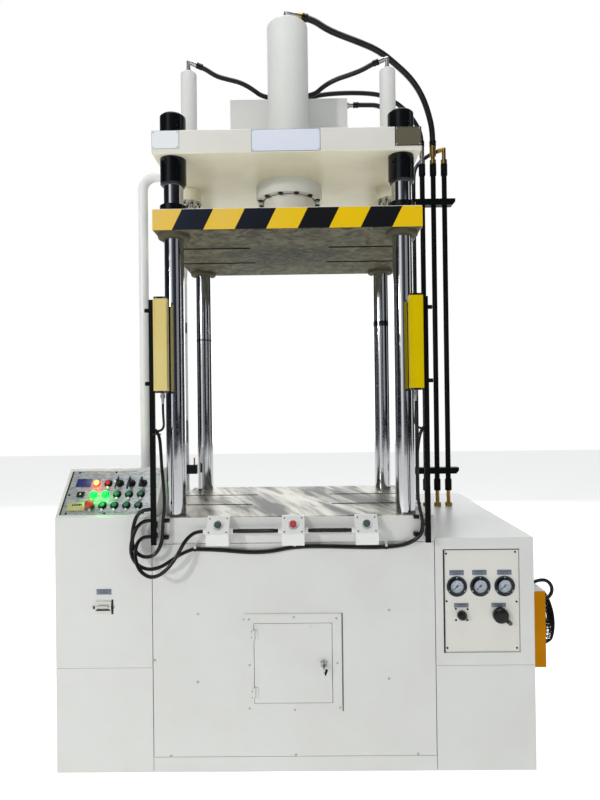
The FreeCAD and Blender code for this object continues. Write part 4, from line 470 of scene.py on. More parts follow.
red_sleeve = moulded("red_heat_shrink", "#9A1A20", 0.4)
olive_sleeve = moulded("olive_lever_grip", "#3E4A34", 0.5)
plate_edge = moulded("grey_plate_edge", "#8E9294", 0.5)
dial_card = printed("dial_card", "#C6D6E4")
ink = printed("printed_ink", "#1A1C20")
faint_ink = printed("faint_printed_ink", "#7C9AB4")
smoke = printed("dark_display_window", "#08090A", 0.12)
# Near-black: real joints and the right crown plate's rim, and painted shade in recesses, in the gaps round the gauge
# panel and at the breaker.
dark_joint_and_shade = printed("dark_joint_rim_and_painted_shade", "#14140F", 0.8)
gap_shadow = printed("shadowed_sheet_edge", "#5C605C", 0.8)
gap_grey = printed("thin_joint_line", "#9A9B92", 0.8)


# ---- camera, light, floor
CAMERA_PLACE = (0.0627, -2.6393, 1.4519)
CAMERA_TURN = (0.009, 0.0066, -0.0121)  # yaw, pitch and roll, in radians
CAMERA_LENS = 25.415  # mm, on a sensor 36 mm wide
LIGHTS = (  # name, place, target, width and length, watts, colour
    ("key_lamp", (-4.2, -4.5, 2.9), (0, -0.4, 1.3), (0.32, 0.32), 110, "#FFFEFC"),
    ("top_box", (0, -0.6, 5.4), (0, 0, 0), (3.4, 3), 104, "#FFFFFF"),
    ("fill_box", (3.4, -4.2, 2.6), (0, 0, 1.4), (2.6, 2.6), 8, "#F4F8FF"),
    ("back_window", (0, 5, 2.6), (0, 0, 1.2), (8, 3.6), 150, "#FFFFFF"),
    ("crown_bounce", (0, -0.02, 2.25), (0, -0.02, 3), (0.86, 0.66), 0.45, "#FFF4D6"))
GLOWS = (("red_glow", RED_LAMP, "#FF2010", 0.3), ("green_glow_left", GREEN_LAMPS[0], "#00FF50", 0.34),
         ("green_glow_right", GREEN_LAMPS[1], "#00FF50", 0.34))
REFLECTED = (  # turn round the press from its back over the left, the front and the right: what polish mirrors there
    (0, "#E8ECEE"), (0.09, "#CDD2D6"), (0.15, "#4A525C"), (0.24, "#1E242C"), (0.375, "#15191F"),
    (0.388, "#FFFFFF"), (0.425, "#FFFFFF"), (0.47, "#5A5E68"), (0.55, "#22252C"), (0.7, "#121316"),
    (0.725, "#141416"), (0.735, "#FFFFFF"), (0.76, "#F4F6F0"), (0.775, "#3A3C3E"), (0.86, "#202226"),
    (0.92, "#A0A6A8"), (1, "#E8ECEE"))


def make_camera():
    """The photograph's viewpoint, 2.6 m in front of the table's middle."""
    yaw, pitch, roll = CAMERA_TURN
    data = bpy.data.cameras.new("camera")
    data.sensor_width = 36
    data.lens = CAMERA_LENS
    camera = show("camera", data)
    camera.matrix_world = shift(*CAMERA_PLACE) @ spun(yaw) @ spun(math.pi / 2 + pitch, "X") @ spun(roll)
    bpy.context.scene.camera = camera


def make_lamp(name, kind, power, colour, matrix):
    """A lamp that the camera doesn't see."""
    data = bpy.data.lights.new(name, kind)
    data.energy = power
    data.color = linear(colour)[:3]
    lamp = show(name, data)
    lamp.visible_camera = False
    lamp.matrix_world = matrix
    return lamp


def make_lights():
    """The studio's key lamp, soft boxes and window."""
    for name, place, target, size, power, colour in LIGHTS:
        lamp = make_lamp(name, "AREA", power, colour, aimed(place, Vector(target) - Vector(place), "-Z"))
        lamp.data.shape = "RECTANGLE"
        lamp.data.size, lamp.data.size_y = size


def make_glows():
    """The light that each lit lamp throws on the panel round it."""
    for name, (column, row), colour, power in GLOWS:
        place = on_console(CONSOLE_COLUMNS[column], CONSOLE_ROWS[row]) @ shift(0.004, -0.024, 0.03)
        lamp = make_lamp(name, "POINT", power, colour, place)
        lamp.data.shadow_soft_size = 0.008
        lamp.visible_glossy = False


def make_world():
    """White behind the press, soft daylight round it, a dim hall with bright windows in its polish."""
    world = bpy.data.worlds.new("studio")
    world.use_nodes = True
    bpy.context.scene.world = world
    tree = world.node_tree
    add = partial(add_node, tree)
    way = add("TexCoord").outputs["Generated"]
    split = add("SeparateXYZ", way).outputs
    ahead = add("Math", split["Y"], -1, operation="MULTIPLY")
    azimuth = add("Math", split["X"], ahead, operation="ARCTAN2")
    turn = add("MapRange", azimuth, -math.pi, math.pi)
    hall = add("ValToRGB", turn)
    stops = hall.color_ramp.elements
    for position, colour in REFLECTED[1:-1]:
        stops.new(position)
    for stop, (position, colour) in zip(stops, REFLECTED):
        stop.position = position
        stop.color = linear(colour)
    height = add("MapRange", split["Z"], 0.45, 0.8)
    rise = add("Math", split["Z"], operation="ABSOLUTE")
    band = add("MapRange", rise, 0.05, 0.45)
    daylight = add("Mix", band, "#A4A6A8", "#5C5F62")
    mirrored = add("Mix", height, hall, "#C4C8CA")
    ray = add("LightPath").outputs
    ambient = add("Mix", ray["Is Glossy Ray"], daylight, mirrored)
    seen = add("Mix", ray["Is Camera Ray"], ambient, "#FFFFFF")
    lead(tree, seen, tree.nodes["Background"].inputs["Color"])


def make_floor():
    """Pale floor that takes the press's shadow."""
    shape = bmesh.new()
    bmesh.ops.create_grid(shape, x_segments=1, y_segments=1, size=14)
    mesh = bpy.data.meshes.new("floor")
    shape.to_mesh(mesh)
    shape.free()
    pale = sprayed_enamel("pale_studio_floor", "#F8F8F6", 0.8, dirt_share=0.02)
    mesh.materials.append(finish(pale, Emission_Color="#FFFFFF", Emission_Strength=0.7))
    show("floor", mesh)


# ---- cords
RISER_X = (0.685, 0.742, 0.799)
RISER_Y = 0.295
FERRULE_TOP = 2.781
PORT_Z = 2.96
MAIN_ARM, SIDE_ARM, DROP_ARM = 0.072, 0.042, 0.03  # swivel arms of the hoses' fittings
MAIN_ROUTE = ((0, 0, 3.284), (0.12, 0.002, 3.255), (0.185, 0.016, 3.218), (0.255, 0.036, 3.2), (0.342, 0.063, 3.184),
    (0.44, 0.104, 3.168), (0.53, 0.15, 3.128), (0.625, 0.206, 3.078), (0.69, 0.25, 3.004), (0.73, 0.284, 2.91),
    (RISER_X[1], RISER_Y, 2.846), (RISER_X[1], RISER_Y, FERRULE_TOP))
LEFT_ROUTE = ((-0.466, 0, 3.065), (-0.39, 0.005, 3.034), (-0.342, 0.024, 3.009), (-0.288, 0.044, 3.004),
    (-0.236, 0.066, 3.003), (-0.185, 0.094, 2.991), (-0.119, 0.136, PORT_Z), (-0.042, 0.136, PORT_Z))
RIGHT_ROUTE = ((0.466, 0, 3.065), (0.398, 0.004, 3.042), (0.35, 0.018, 3.022), (0.292, 0.04, 3.013),
    (0.232, 0.062, 3.007), (0.174, 0.09, 2.992), (0.118, 0.124, PORT_Z), (0.042, 0.124, PORT_Z))
CROSS_ROUTE = ((0.042, 0.158, 2.972), (0.1, 0.158, 2.972), (0.17, 0.16, 2.988), (0.27, 0.168, 2.998),
    (0.37, 0.18, 3.003), (0.465, 0.198, 3.002), (0.545, 0.228, 2.976), (0.603, 0.256, 2.946), (0.649, 0.28, 2.902),
    (RISER_X[0], RISER_Y, 2.844), (RISER_X[0], RISER_Y, FERRULE_TOP))
TANK_ROUTE = ((0.316, 0.137, 2.92), (0.376, 0.137, 2.92), (0.446, 0.15, 2.924), (0.51, 0.178, 2.9),
    (0.556, 0.208, 2.846), (0.582, 0.236, 2.774), (0.592, 0.268, 2.69), (0.592, 0.268, 2.578))
DROP_ROUTE = ((RISER_X[2], RISER_Y, 2.766), (0.744, 0.328, 2.758), (0.704, 0.342, 2.737), (0.668, 0.335, 2.702),
    (0.647, 0.312, 2.656), (0.64, RISER_Y, 2.6), (0.64, RISER_Y, 2.541), (0.64, RISER_Y, 0.941))
POST = 0.546
LOOP_ROUTES = (
    ((-POST, CABLE_Y, 1.045), (-0.565, CABLE_Y, 1.045), (-0.586, CABLE_Y, 1.037), (-0.603, -0.432, 1.018),
     (-0.614, -0.434, 0.984), (-0.619, -0.436, 0.944), (-0.618, -0.437, 0.904), (-0.6, -0.437, 0.873),
     (-0.566, -0.437, 0.858), (-0.531, -0.436, 0.868), (-0.509, -0.434, 0.9), (-0.5, CABLE_Y, 0.942),
     (-0.5, CABLE_Y, 0.982)),
    ((-POST, -0.433, 1.002), (-0.565, -0.433, 1.002), (-0.584, -0.437, 0.994), (-0.6, -0.445, 0.976),
     (-0.612, -0.452, 0.944), (-0.62, -0.456, 0.9), (-0.612, -0.458, 0.86), (-0.586, -0.459, 0.83),
     (-0.546, -0.459, 0.817), (-0.502, -0.456, 0.826), (-0.46, -0.446, 0.852), (-0.424, -0.43, 0.874),
     (-0.386, -0.415, 0.884)),
    ((-POST, -0.435, 0.94), (-0.57, -0.435, 0.94), (-0.59, -0.442, 0.928), (-0.599, -0.454, 0.908),
     (-0.6, -0.466, 0.876), (-0.591, -0.474, 0.842), (-0.571, -0.479, 0.811), (-0.535, -0.48, 0.792),
     (-0.496, -0.479, 0.804), (-0.46, -0.472, 0.838), (-0.432, -0.462, 0.882), (-0.412, -0.45, 0.922),
     (-0.386, -0.437, 0.948), (-0.36, CABLE_Y, 0.957), (-0.341, CABLE_Y, 0.957)))
FRONT_ROUTE = (
    (-0.386, -0.415, 0.884), (-0.348, -0.409, 0.882), (-0.28, -0.409, 0.879), (-0.17, -0.409, 0.868),
    (-0.08, -0.409, 0.87), (0.008, -0.409, 0.888), (0.11, -0.409, 0.89), (0.23, -0.409, 0.886),
    (0.33, -0.409, 0.883), (0.404, -0.41, 0.886), (0.452, -0.414, 0.895), (0.49, -0.424, 0.916),
    (0.515, CABLE_Y, 0.948), (0.515, CABLE_Y, 0.982))
FAN_LEAD_ROUTE = ((0.956, -0.112, 0.648), (0.992, -0.112, 0.648), (1.034, -0.112, 0.642), (1.066, -0.112, 0.645),
    (1.093, -0.112, 0.655), (1.126, -0.112, 0.655), (1.15, -0.112, 0.63), (1.15, -0.112, 0.596),
    (1.126, -0.112, 0.571), (1.092, -0.112, 0.571))
SENSOR_ROUTE = ((-0.5, CABLE_Y, 0.98), (-0.499, CABLE_Y, 1.004), (-0.494, -0.43, 1.04), (-0.493, -0.43, 1.08),
    (-0.496, -0.43, 1.146), (-0.502, -0.43, 1.209), (-0.505, -0.43, 1.27), (-0.508, CABLE_Y, 1.32),
    (-0.516, CABLE_Y, 1.345), (-0.526, CABLE_Y, 1.357))
RIGHT_SENSOR_ROUTE = ((0.515, CABLE_Y, 0.98), (0.513, CABLE_Y, 1.004), (0.504, CABLE_Y, 1.04),
    (0.497, CABLE_Y, 1.091), (0.497, CABLE_Y, 1.154), (0.496, CABLE_Y, 1.226), (0.5, CABLE_Y, 1.275),
    (0.507, CABLE_Y, 1.32), (0.516, CABLE_Y, 1.345), (0.526, CABLE_Y, 1.357))


def curtain_lead(side):
    """A light curtain's lead, from its plug back to the post."""
    x = side * PLUG_X
    return ((x, -0.445, 1.458), (x, -0.445, 1.428), (x, -0.438, 1.396), (x, CABLE_Y, 1.366),
        (side * 0.5066, CABLE_Y, 1.3504), (side * 0.526, CABLE_Y, 1.3504))


def after_arm(route, length):
    """The route past the fitting's swivel arm."""
    start, bend = Vector(route[0]), Vector(route[1])
    return [start + (bend - start).normalized() * length] + [Vector(p) for p in route[1:]]


def cord(name, route, diameter, material):
    """Hose or cable on one smooth spline."""
    curve = bpy.data.curves.new(name, "CURVE")
    curve.dimensions = "3D"
    spline = curve.splines.new("NURBS")
    spline.points.add(len(route) - 1)
    for point, place in zip(spline.points, route):
        point.co = (*place, 1)
    spline.order_u = 3
    spline.use_endpoint_u = True
    spline.resolution_u = 10
    curve.bevel_depth = diameter / 2
    curve.bevel_resolution = 5
    curve.use_fill_caps = True
    curve.materials.append(material)
    piece = show(name, curve)
    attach(piece, BODY)
    return piece


def lay_cords():
    """Rubber hoses, then limp cables, laid in place of the CAD's own, which are hidden."""
    hoses = (
        ("main_pressure_hose", after_arm(MAIN_ROUTE, MAIN_ARM), 0.029, 0.972, "loose"),
        ("left_return_hose", after_arm(LEFT_ROUTE, SIDE_ARM), 0.022, 0.427, "loose"),
        ("right_return_hose", after_arm(RIGHT_ROUTE, SIDE_ARM), 0.022, 0.42, "loose"),
        ("cross_hose", CROSS_ROUTE, 0.022, 0.783, "loose"), ("tank_hose", TANK_ROUTE, 0.022, 0.56, "loose"),
        ("drop_hose", after_arm(DROP_ROUTE, DROP_ARM), 0.02, 1.903, "taut"))
    cables = (
        ("cable_loop_1", LOOP_ROUTES[0], 0.0145, 0.405), ("cable_loop_2", LOOP_ROUTES[1], 0.0145, 0.442),
        ("cable_loop_3", LOOP_ROUTES[2], 0.0145, 0.487), ("front_cable", FRONT_ROUTE, 0.0165, 0.957),
        ("curtain_lead_left", curtain_lead(-1), 0.0095, 0.132), ("curtain_lead_right", curtain_lead(1), 0.0095, 0.132),
        ("left_sensor_cable", SENSOR_ROUTE, 0.0125, 0.381), ("right_sensor_cable", RIGHT_SENSOR_ROUTE, 0.0125, 0.382),
        ("fan_lead", FAN_LEAD_ROUTE, 0.0155, 0.302))
    laid = [cord(name, route, wide, rubber) for name, route, wide, length, lay in hoses]
    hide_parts("hoses")
    laid = [cord(name, route, wide, sheath) for name, route, wide, length in cables]
    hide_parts("machine_cables")


# ---- finishes on the CAD nodes
ONE_FINISH = (
    (ivory, "base_frame left_cabinet right_cabinet main_cylinder table_cheeks oil_tank front_cover access_door "
            "console_housing"),
    (warm_ivory, "cylinder_gland gauge_panel"),
    (white, "conduit_riser"),
    (chrome, "columns ram return_rods"),
    (black_oxide, "column_nuts"),
    (rubber, "hoses"),
    (sheath, "machine_cables box_conduits"),
    (black_enamel, "riser_pipes pipe_clamps curtain_mounts fan_guard"),
    (panel_aluminium, "console_panel"),
    (polished_black, "gauge_bodies"),
    (black_plastic, "cooler_fan small_knob"),
    (pale_plastic, "breaker_toggle"),
    (zinc, "door_lock"),
    (dark_green_plastic, "start_button_left start_button_right"),
    (green_plastic, " ".join("green_button_%d" % number for number in range(1, 8))),
    (red_plastic, "front_stop_button red_button"),
    (mushroom_red, "mushroom_stop"),
    (ink, "gauge_needle_1 gauge_needle_2 gauge_needle_3"))


def dress(node, base, *coats):
    """A finish on a node, and further ones by a test on a face's middle and normal."""
    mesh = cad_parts[node].data
    mesh.materials.clear()
    for material in (base,) + tuple(coat[0] for coat in coats):
        mesh.materials.append(material)
    for polygon in mesh.polygons:
        polygon.material_index = 0
        for index, (material, test) in enumerate(coats):
            if test(polygon.center, polygon.normal):
                polygon.material_index = index + 1
                break


def height_over(matrix, point):
    """Height of a point above a sloped face."""
    return (matrix.inverted() @ Vector(point)).z


def lamp_test(column, row):
    """True on a lamp's lens: inside the collar's radius and above it."""
    to_panel = on_console(CONSOLE_COLUMNS[column], CONSOLE_ROWS[row]).inverted()

    def test(centre, normal):
        local = to_panel @ Vector(centre)
        return local.z > 0.0068 and math.hypot(local.x, local.y) < 0.0125

    return test


def dress_nodes():
    """Finishes on every CAD node; the tests say which faces get which."""
    inset, skin = 0.004, 0.0005
    for material, nodes in ONE_FINISH:
        for node in nodes.split():
            dress(node, material)
    # The crown's undersides and the return cylinders below the crown get the underside enamel: painted shade and
    # bounce light.
    dress("crown", warm_ivory, (shaded_ivory, lambda c, n: n.z < -0.5))
    dress("return_cylinders", ivory, (shaded_ivory, lambda c, n: c.z < CROWN_LOW.z))
    dress("table", ivory, (table_steel, lambda c, n: n.z > 0.5 or c.z > TABLE_LOW.z + 0.06 and abs(n.z) < 0.5
        and FRONT + inset < c.y < -FRONT - inset and abs(c.x) < TABLE_HIGH.x - inset))
    # Faces inside the underside's recesses, up to 45 mm in, take the near-black material: painted shade in the slots.
    dress("slider", ivory, (hazard, lambda c, n: n.y < -0.9 and c.y < SLIDER_LOW.y + inset),
        (dark_joint_and_shade, lambda c, n: SLIDER_LOW.z + skin < c.z < SLIDER_LOW.z + 0.045
        and abs(c.x) < SLIDER_HIGH.x - inset and abs(c.y) < -SLIDER_LOW.y - inset),
        (slider_steel, lambda c, n: c.z < SLIDER_HIGH.z - 0.03 and abs(n.y) < 0.9
        and abs(c.x) < SLIDER_HIGH.x - inset))
    dress("guide_bushes", black_oxide, (wiper_felt, lambda c, n: c.z < SLIDER_LOW.z - skin))
    dress("hose_fittings", brass, (zinc, lambda c, n: abs(c.x - RISER_X[0]) < 0.02 and c.z > 2.6
        or abs(c.x) > 0.28 and c.x < 0.7 and c.z > 2.8 or abs(c.x) < 0.05 and c.z > 3.2),
        (black_enamel, lambda c, n: abs(c.x) < 0.045 and 2.9 < c.z < 3 or 0.53 < c.x < 0.61 and c.z < 2.6))
    # The left sensor bar's faces get the paler yellow: painted glare.
    dress("light_curtains", yellow, (zinc, lambda c, n: c.z < PLUG_TOP),
        (black_plastic, lambda c, n: c.z < PLUG_TOP + 0.0085 or c.z > CURTAIN_HIGH.z - 0.0085 or abs(n.x) > 0.9
        and abs(abs(c.x) - 0.473) < 0.003), (left_glare_yellow, lambda c, n: c.x < 0))
    dress("position_rail", aluminium, (brass, lambda c, n: c.y < 0.29 and 1.1445 < c.z < 1.1799),
        (black_plastic, lambda c, n: c.y < 0.29))
    box_face, panel_face = on_box(0, 0), on_console(0, 0)
    dress("button_boxes", white, (zinc, lambda c, n: height_over(box_face, c) > skin))
    dress("console_fittings", black_plastic, (red_lens, lamp_test(*RED_LAMP)),
        *((green_lens, lamp_test(*lamp)) for lamp in GREEN_LAMPS),
        (cream_plastic, lambda c, n: c.x < -0.826 and c.z < RIM + 0.063 and height_over(panel_face, c) > skin))
    for number in range(1, 4):
        dress("key_selector_%d" % number, black_plastic, (zinc, lambda c, n: height_over(panel_face, c) > 0.0141))
    dress("oil_cooler", orange, (pale_zinc, lambda c, n: n.z > 0.9 and c.z > COOLER_TOP - 0.002),
        (black_enamel, lambda c, n: c.x > RIGHT_HIGH.x + 0.006
            and math.hypot(c.y - FAN_FACE[1], c.z - FAN_FACE[2]) < 0.04))
    dress("breaker", pale_plastic, (black_plastic, lambda c, n: abs(c.x - BREAKER_X) > 0.0325))
    dress("valve_lever", black_plastic, (olive_sleeve, lambda c, n: math.hypot(c.x - VALVE_X, c.z - KNOB_Z) > 0.034))


# ---- plates, tags and screws
COVER_SCREWS = ((-0.372, 0.624), (-0.375, 0.355), (-0.545, 0.443), (-0.485, 0.064), (0.01, 0.066), (0.384, 0.633),
    (0.381, 0.363), (0.491, 0.066))
BEZEL_SCREWS = ((-0.17, 0.602), (0.008, 0.609), (-0.169, 0.421), (-0.171, 0.251), (0.008, 0.244), (0.176, 0.603),
    (0.178, 0.427), (0.186, 0.252))
GAUGE_SCREWS = ((0.612, 0.852), (0.884, 0.857), (0.612, 0.665), (0.887, 0.661), (0.613, 0.481), (0.886, 0.479))
KNOB_SCREWS = ((0.648, 0.635), (0.694, 0.633), (0.648, 0.59), (0.693, 0.59))
BREAKER_SCREWS = ((-0.787, 0.657), (-0.706, 0.656))
CONSOLE_SCREWS = ((-0.895, 0.219), (-0.74, 0.219), (-0.91, 0.109), (-0.9, 0.02), (-0.745, 0.019), (-0.574, 0.109),
    (-0.59, 0.218), (-0.59, 0.02))
HINGE_SCREWS = (0.554, 0.529, 0.317, 0.293)
CROWN_PLATES = (  # name, left, right, low, high, finish, rim, rim's width
    ("left_crown_plate", -0.5372, -0.427, 2.474, 2.547, bare_plate, plate_edge, 0.0016),
    ("middle_crown_plate", -0.139, 0.136, 2.4575, 2.5465, blue_plate, tag_plate, 0.0022),
    ("right_crown_plate", 0.432, 0.5372, 2.471, 2.547, bronze_plate, dark_joint_and_shade, 0.003))


def crown_plates():
    """Bare plates on the crown, each with a darker rim and a rivet in each corner."""
    for name, left, right, low, high, face, rim, edge in CROWN_PLATES:
        shape = bmesh.new()
        x, z = (left + right) / 2, (low + high) / 2
        width, height = right - left, high - low
        bar(shape, on_front(x, z), width, height, 0.001, edge=0.0003, slot=1)
        bar(shape, on_front(x, z, FRONT - 0.0008), width - 2 * edge, height - 2 * edge, 0.0005)
        for dx in (-1, 1):
            for dz in (-1, 1):
                rivet = on_front(x + dx * (width / 2 - 0.007), z + dz * (height / 2 - 0.007), FRONT - 0.0012)
                screw(shape, rivet, 0.0028, 0.0016, slot=2, recess=False)
        settle(name, shape, face, rim, zinc)


def tag_plates():
    """Slate tags over gauges, valves and breaker: two plain strokes, a rivet at each end."""
    shape = bmesh.new()
    tags = [(left, left + 0.057, 0.767, 0.787, GAUGE_FACE) for left in (0.624, 0.714, 0.812)]
    tags += [(left, left + 0.057, 0.64, 0.657, GAUGE_FACE) for left in (0.641, 0.788)]
    tags.append((-0.774, -0.715, 0.704, 0.726, FRONT))
    for left, right, low, high, y in tags:
        x, z = (left + right) / 2, (low + high) / 2
        bar(shape, on_front(x, z, y), right - left, high - low, 0.0012, edge=0.0004)
        for line in (-1, 1):
            bar(shape, on_front(x, z + line * (high - low) * 0.18, y - 0.0011), (right - left) * 0.55, 0.0016, 0.0003,
                slot=2)
        for dx in (-1, 1):
            screw(shape, on_front(x + dx * ((right - left) / 2 - 0.005), z, y - 0.001), 0.0026, 0.0015, slot=1,
                recess=False)
    settle("tag_plates", shape, tag_plate, brass, ink)


def sheet_screws():
    """Pan heads in the cover, the bezel, the gauge panel, the console and the button boxes."""
    shape = bmesh.new()
    groups = ((COVER_SCREWS, FRONT, 0.0048, 0.0022, 0), (BEZEL_SCREWS, DOOR_FACE, 0.0042, 0.002, 0),
        (GAUGE_SCREWS + KNOB_SCREWS, GAUGE_FACE, 0.004, 0.0022, 1), (BREAKER_SCREWS, FRONT, 0.004, 0.0022, 0))
    for spots, y, radius, height, slot in groups:
        for x, z in spots:
            screw(shape, on_front(x, z, y), radius, height, slot)
    for x, v in CONSOLE_SCREWS:
        screw(shape, on_console(x, v), 0.0042, 0.0022, slot=1)
    for x in BOX_X:
        for dx in (-0.034, 0.034):
            for v in (0.01, 0.069):
                screw(shape, on_box(x + dx, v), 0.0028, 0.0016, slot=1)
    settle("sheet_screws", shape, zinc, black_oxide)


def door_fittings():
    """Screws of the hinges and the catch, the lock's bright rose and the key in it."""
    fixed, moving = bmesh.new(), bmesh.new()
    for z in HINGE_SCREWS:
        screw(fixed, on_front(-0.16, z, DOOR_FACE), 0.003, 0.0014)
        screw(moving, on_front(-0.14, z, DOOR_FACE), 0.003, 0.0014)
    screw(fixed, on_front(-0.191, 0.601), 0.0034, 0.0016)
    settle("hinge_screws", fixed, zinc, black_oxide)
    screw(moving, on_front(0.077, 0.572, DOOR_FACE), 0.0034, 0.0016)
    ring(moving, on_front(*DOOR_LOCK, DOOR_FACE), 0.0128, 0.0172, 0, 0.0022, steps=28)
    settle("door_screws", moving, pale_chrome, black_oxide, body="door")
    shape = bmesh.new()
    key = on_front(*DOOR_LOCK, FRONT - 0.018)
    bar(shape, key, 0.0055, 0.023, 0.015, edge=0.002)
    hang = key @ shift(0.001, -0.005, 0.012)
    ring(shape, hang @ spun(1.3, "Y"), 0.005, 0.0068, -0.0009, 0.0009, steps=20, slot=1)
    bar(shape, hang @ shift(0.006, -0.016, -0.002) @ spun(-0.35), 0.01, 0.026, 0.0022, edge=0.001)
    bar(shape, hang @ shift(-0.001, -0.026, 0.001) @ spun(0.15), 0.006, 0.024, 0.0018, edge=0.0006, slot=1)
    settle("door_key", shape, black_plastic, pale_chrome, body="lock")


def clip_blocks():
    """Moulded cable clips at the table's two corners, and the tie on the left post."""
    shape = bmesh.new()
    for x, z in ((-0.489, 0.998), (-0.492, 0.932), (0.494, 1.003), (0.493, 0.935)):
        bar(shape, on_front(x, z, FRONT - 0.002), 0.022, 0.016, 0.02, edge=0.003)
    bar(shape, on_front(-0.52, 1.339, -0.421), 0.03, 0.005, 0.02, edge=0.001)
    settle("clip_blocks", shape, black_plastic)


def joint_lines():
    """Dark and grey joints: painted shadow in the wide dark bars at the gauge panel's left and top, a dark joint
    beside the console panel, thin grey joint lines at the gauge panel's bottom and right, a shadowed sheet edge beside
    the bezel, and painted shadows right of the breaker and under its toggle.
    """
    shape = bmesh.new()
    low, high = PANEL_LOW, PANEL_HIGH
    x, z, width, height = (low.x + high.x) / 2, (low.z + high.z) / 2, high.x - low.x, high.z - low.z
    joints = (
        # Wide dark bars at the gauge panel's left and top: painted shadow in the gap.
        (on_front(low.x - 0.0022, z - 0.001), 0.0062, height + 0.004, 0.0006, 0),
        (on_front(x, high.z + 0.001), width + 0.004, 0.003, 0.0006, 0),
        (on_front(x, low.z - 0.001), width + 0.004, 0.0014, 0.0005, 1),
        (on_front(high.x + 0.001, z), 0.0014, height, 0.0005, 1),
        (on_front(0.1985, 0.43), 0.0045, 0.386, 0.0012, 2), (on_console(-0.9225, 0.119), 0.0065, 0.212, 0.0006, 0),
        # Painted shadows: a dark bar right of the breaker and a dark line under its toggle.
        (on_front(-0.7115, 0.655), 0.0075, 0.058, 0.0008, 0),
        (on_front(BREAKER_X, 0.6435, FRONT - 0.005), 0.058, 0.005, 0.0002, 0))
    for place, wide, tall, thick, slot in joints:
        bar(shape, place, wide, tall, thick, slot=slot)
    settle("joint_lines", shape, dark_joint_and_shade, gap_grey, gap_shadow)


# ---- gauges
GAUGE_STEPS = 25  # divisions of the scale, a figure at every fifth


def gauge_faces():
    """Each gauge's card with scale and figures, its crystal and the screws in its flange."""
    for number, x in enumerate(GAUGE_X, 1):
        place = on_front(x, GAUGE_Z, GAUGE_FACE)
        shape = bmesh.new()
        ring(shape, place, 0.0022, 0.0256, 0, 0.0006)
        ring(shape, place, 0.0168, 0.0178, 0.0006, 0.0008, slot=2)
        for step in range(GAUGE_STEPS + 1):
            major = step % 5 == 0
            degrees = 225 - 270 * step / GAUGE_STEPS
            long, wide = (0.0046, 0.0007) if major else (0.0026, 0.00035)
            tick = place @ spun(math.radians(degrees)) @ shift(0.0242 - long / 2, 0, 0.0006)
            bar(shape, tick, long, wide, 0.0002, slot=1)
            if major:
                lettering(shape, place @ round_spot(0.0132, degrees, 0.0007), str(step), 0.0048, slot=1)
        settle("gauge_%d_card" % number, shape, dial_card, ink, faint_ink)
        shape = bmesh.new()
        disc(shape, place, 0.0258, 0.0076, 0.0084)
        settle("gauge_%d_crystal" % number, shape, crystal)
        shape = bmesh.new()
        for degrees in (90, 210, 330):
            screw(shape, place @ round_spot(0.0355, degrees, 0.003), 0.0032, 0.0026)
        ring(shape, place, 0.0262, 0.029, 0.0108, 0.0114, slot=1)
        settle("gauge_%d_screws" % number, shape, zinc, black_oxide)


def bold_needles():
    """Black pointer, hub and tail pressed on each gauge's needle."""
    for number, x in enumerate(GAUGE_X, 1):
        place = on_front(x, GAUGE_Z, GAUGE_FACE)
        shape = bmesh.new()
        bar(shape, place @ spun(math.radians(225)) @ shift(0.0065, 0, 0.0036), 0.027, 0.003, 0.0008, edge=0.0002)
        turned(shape, place, [(0, 0.0045), (0.0048, 0.0045), (0.0048, 0.0055), (0.0034, 0.0062), (0, 0.0062)],
            steps=20)
        bar(shape, place @ spun(math.radians(45)) @ shift(0.006, 0, 0.0036), 0.008, 0.0044, 0.0008, edge=0.0002)
        settle("gauge_%d_pointer" % number, shape, ink, body="gauge_needle_%d_body" % number)


def knob_pointer():
    """Pointer moulded on the small knob's skirt, white line along it."""
    shape = bmesh.new()
    place = on_front(KNOB_X, KNOB_Z, GAUGE_FACE) @ spun(-0.7)
    bar(shape, place @ shift(0.0165, 0, 0.004), 0.013, 0.009, 0.017, edge=0.002)
    bar(shape, place @ shift(0.015, 0, 0.0209), 0.008, 0.0014, 0.0003, slot=1)
    settle("knob_pointer", shape, black_plastic, white_plastic, body="small_knob_body")


# ---- console
def console_plates():
    """Bare blue plate, legend strips, white marks below the unlit buttons as painted highlights, the display's window,
    the counter's wheels.
    """
    shape = bmesh.new()
    display, counter = on_console(-0.863, 0.108), on_console(-0.863, 0.049)
    bar(shape, on_console(-0.864, 0.1665), 0.062, 0.041, 0.001, edge=0.0003)
    bar(shape, display @ shift(0, 0, 0.0058), 0.018, 0.015, 0.0006, slot=1)
    lettering(shape, display @ shift(0, 0, 0.0067), "0", 0.013, slot=2)
    bar(shape, counter @ shift(0, 0.007, 0.004), 0.04, 0.0098, 0.0026, slot=1)
    for wheel in range(5):
        lettering(shape, counter @ shift(-0.0148 + wheel * 0.0074, 0.007, 0.0068), "0", 0.0085, slot=2)
    for column, row, x, v in CONSOLE_GRID:
        bar(shape, on_console(x + 0.002, v + 0.0235), 0.02, 0.0026, 0.0002, slot=3)
        lit = (column, row) == RED_LAMP or (column, row) in GREEN_LAMPS
        # White marks below each unlit button: painted highlights.
        if not lit and not (row == 0 and column > 1):
            bar(shape, on_console(x + 0.001, v - 0.0195) @ spun(0.5), 0.0085, 0.012, 0.005, edge=0.0008, slot=2)
    for x, width in ((-0.746, 0.055), (-0.688, 0.04), (-0.63, 0.036)):
        bar(shape, on_console(x, 0.0245), width, 0.0028, 0.0002, slot=3)
    settle("console_plates", shape, deep_blue, smoke, white_plastic, tag_plate)


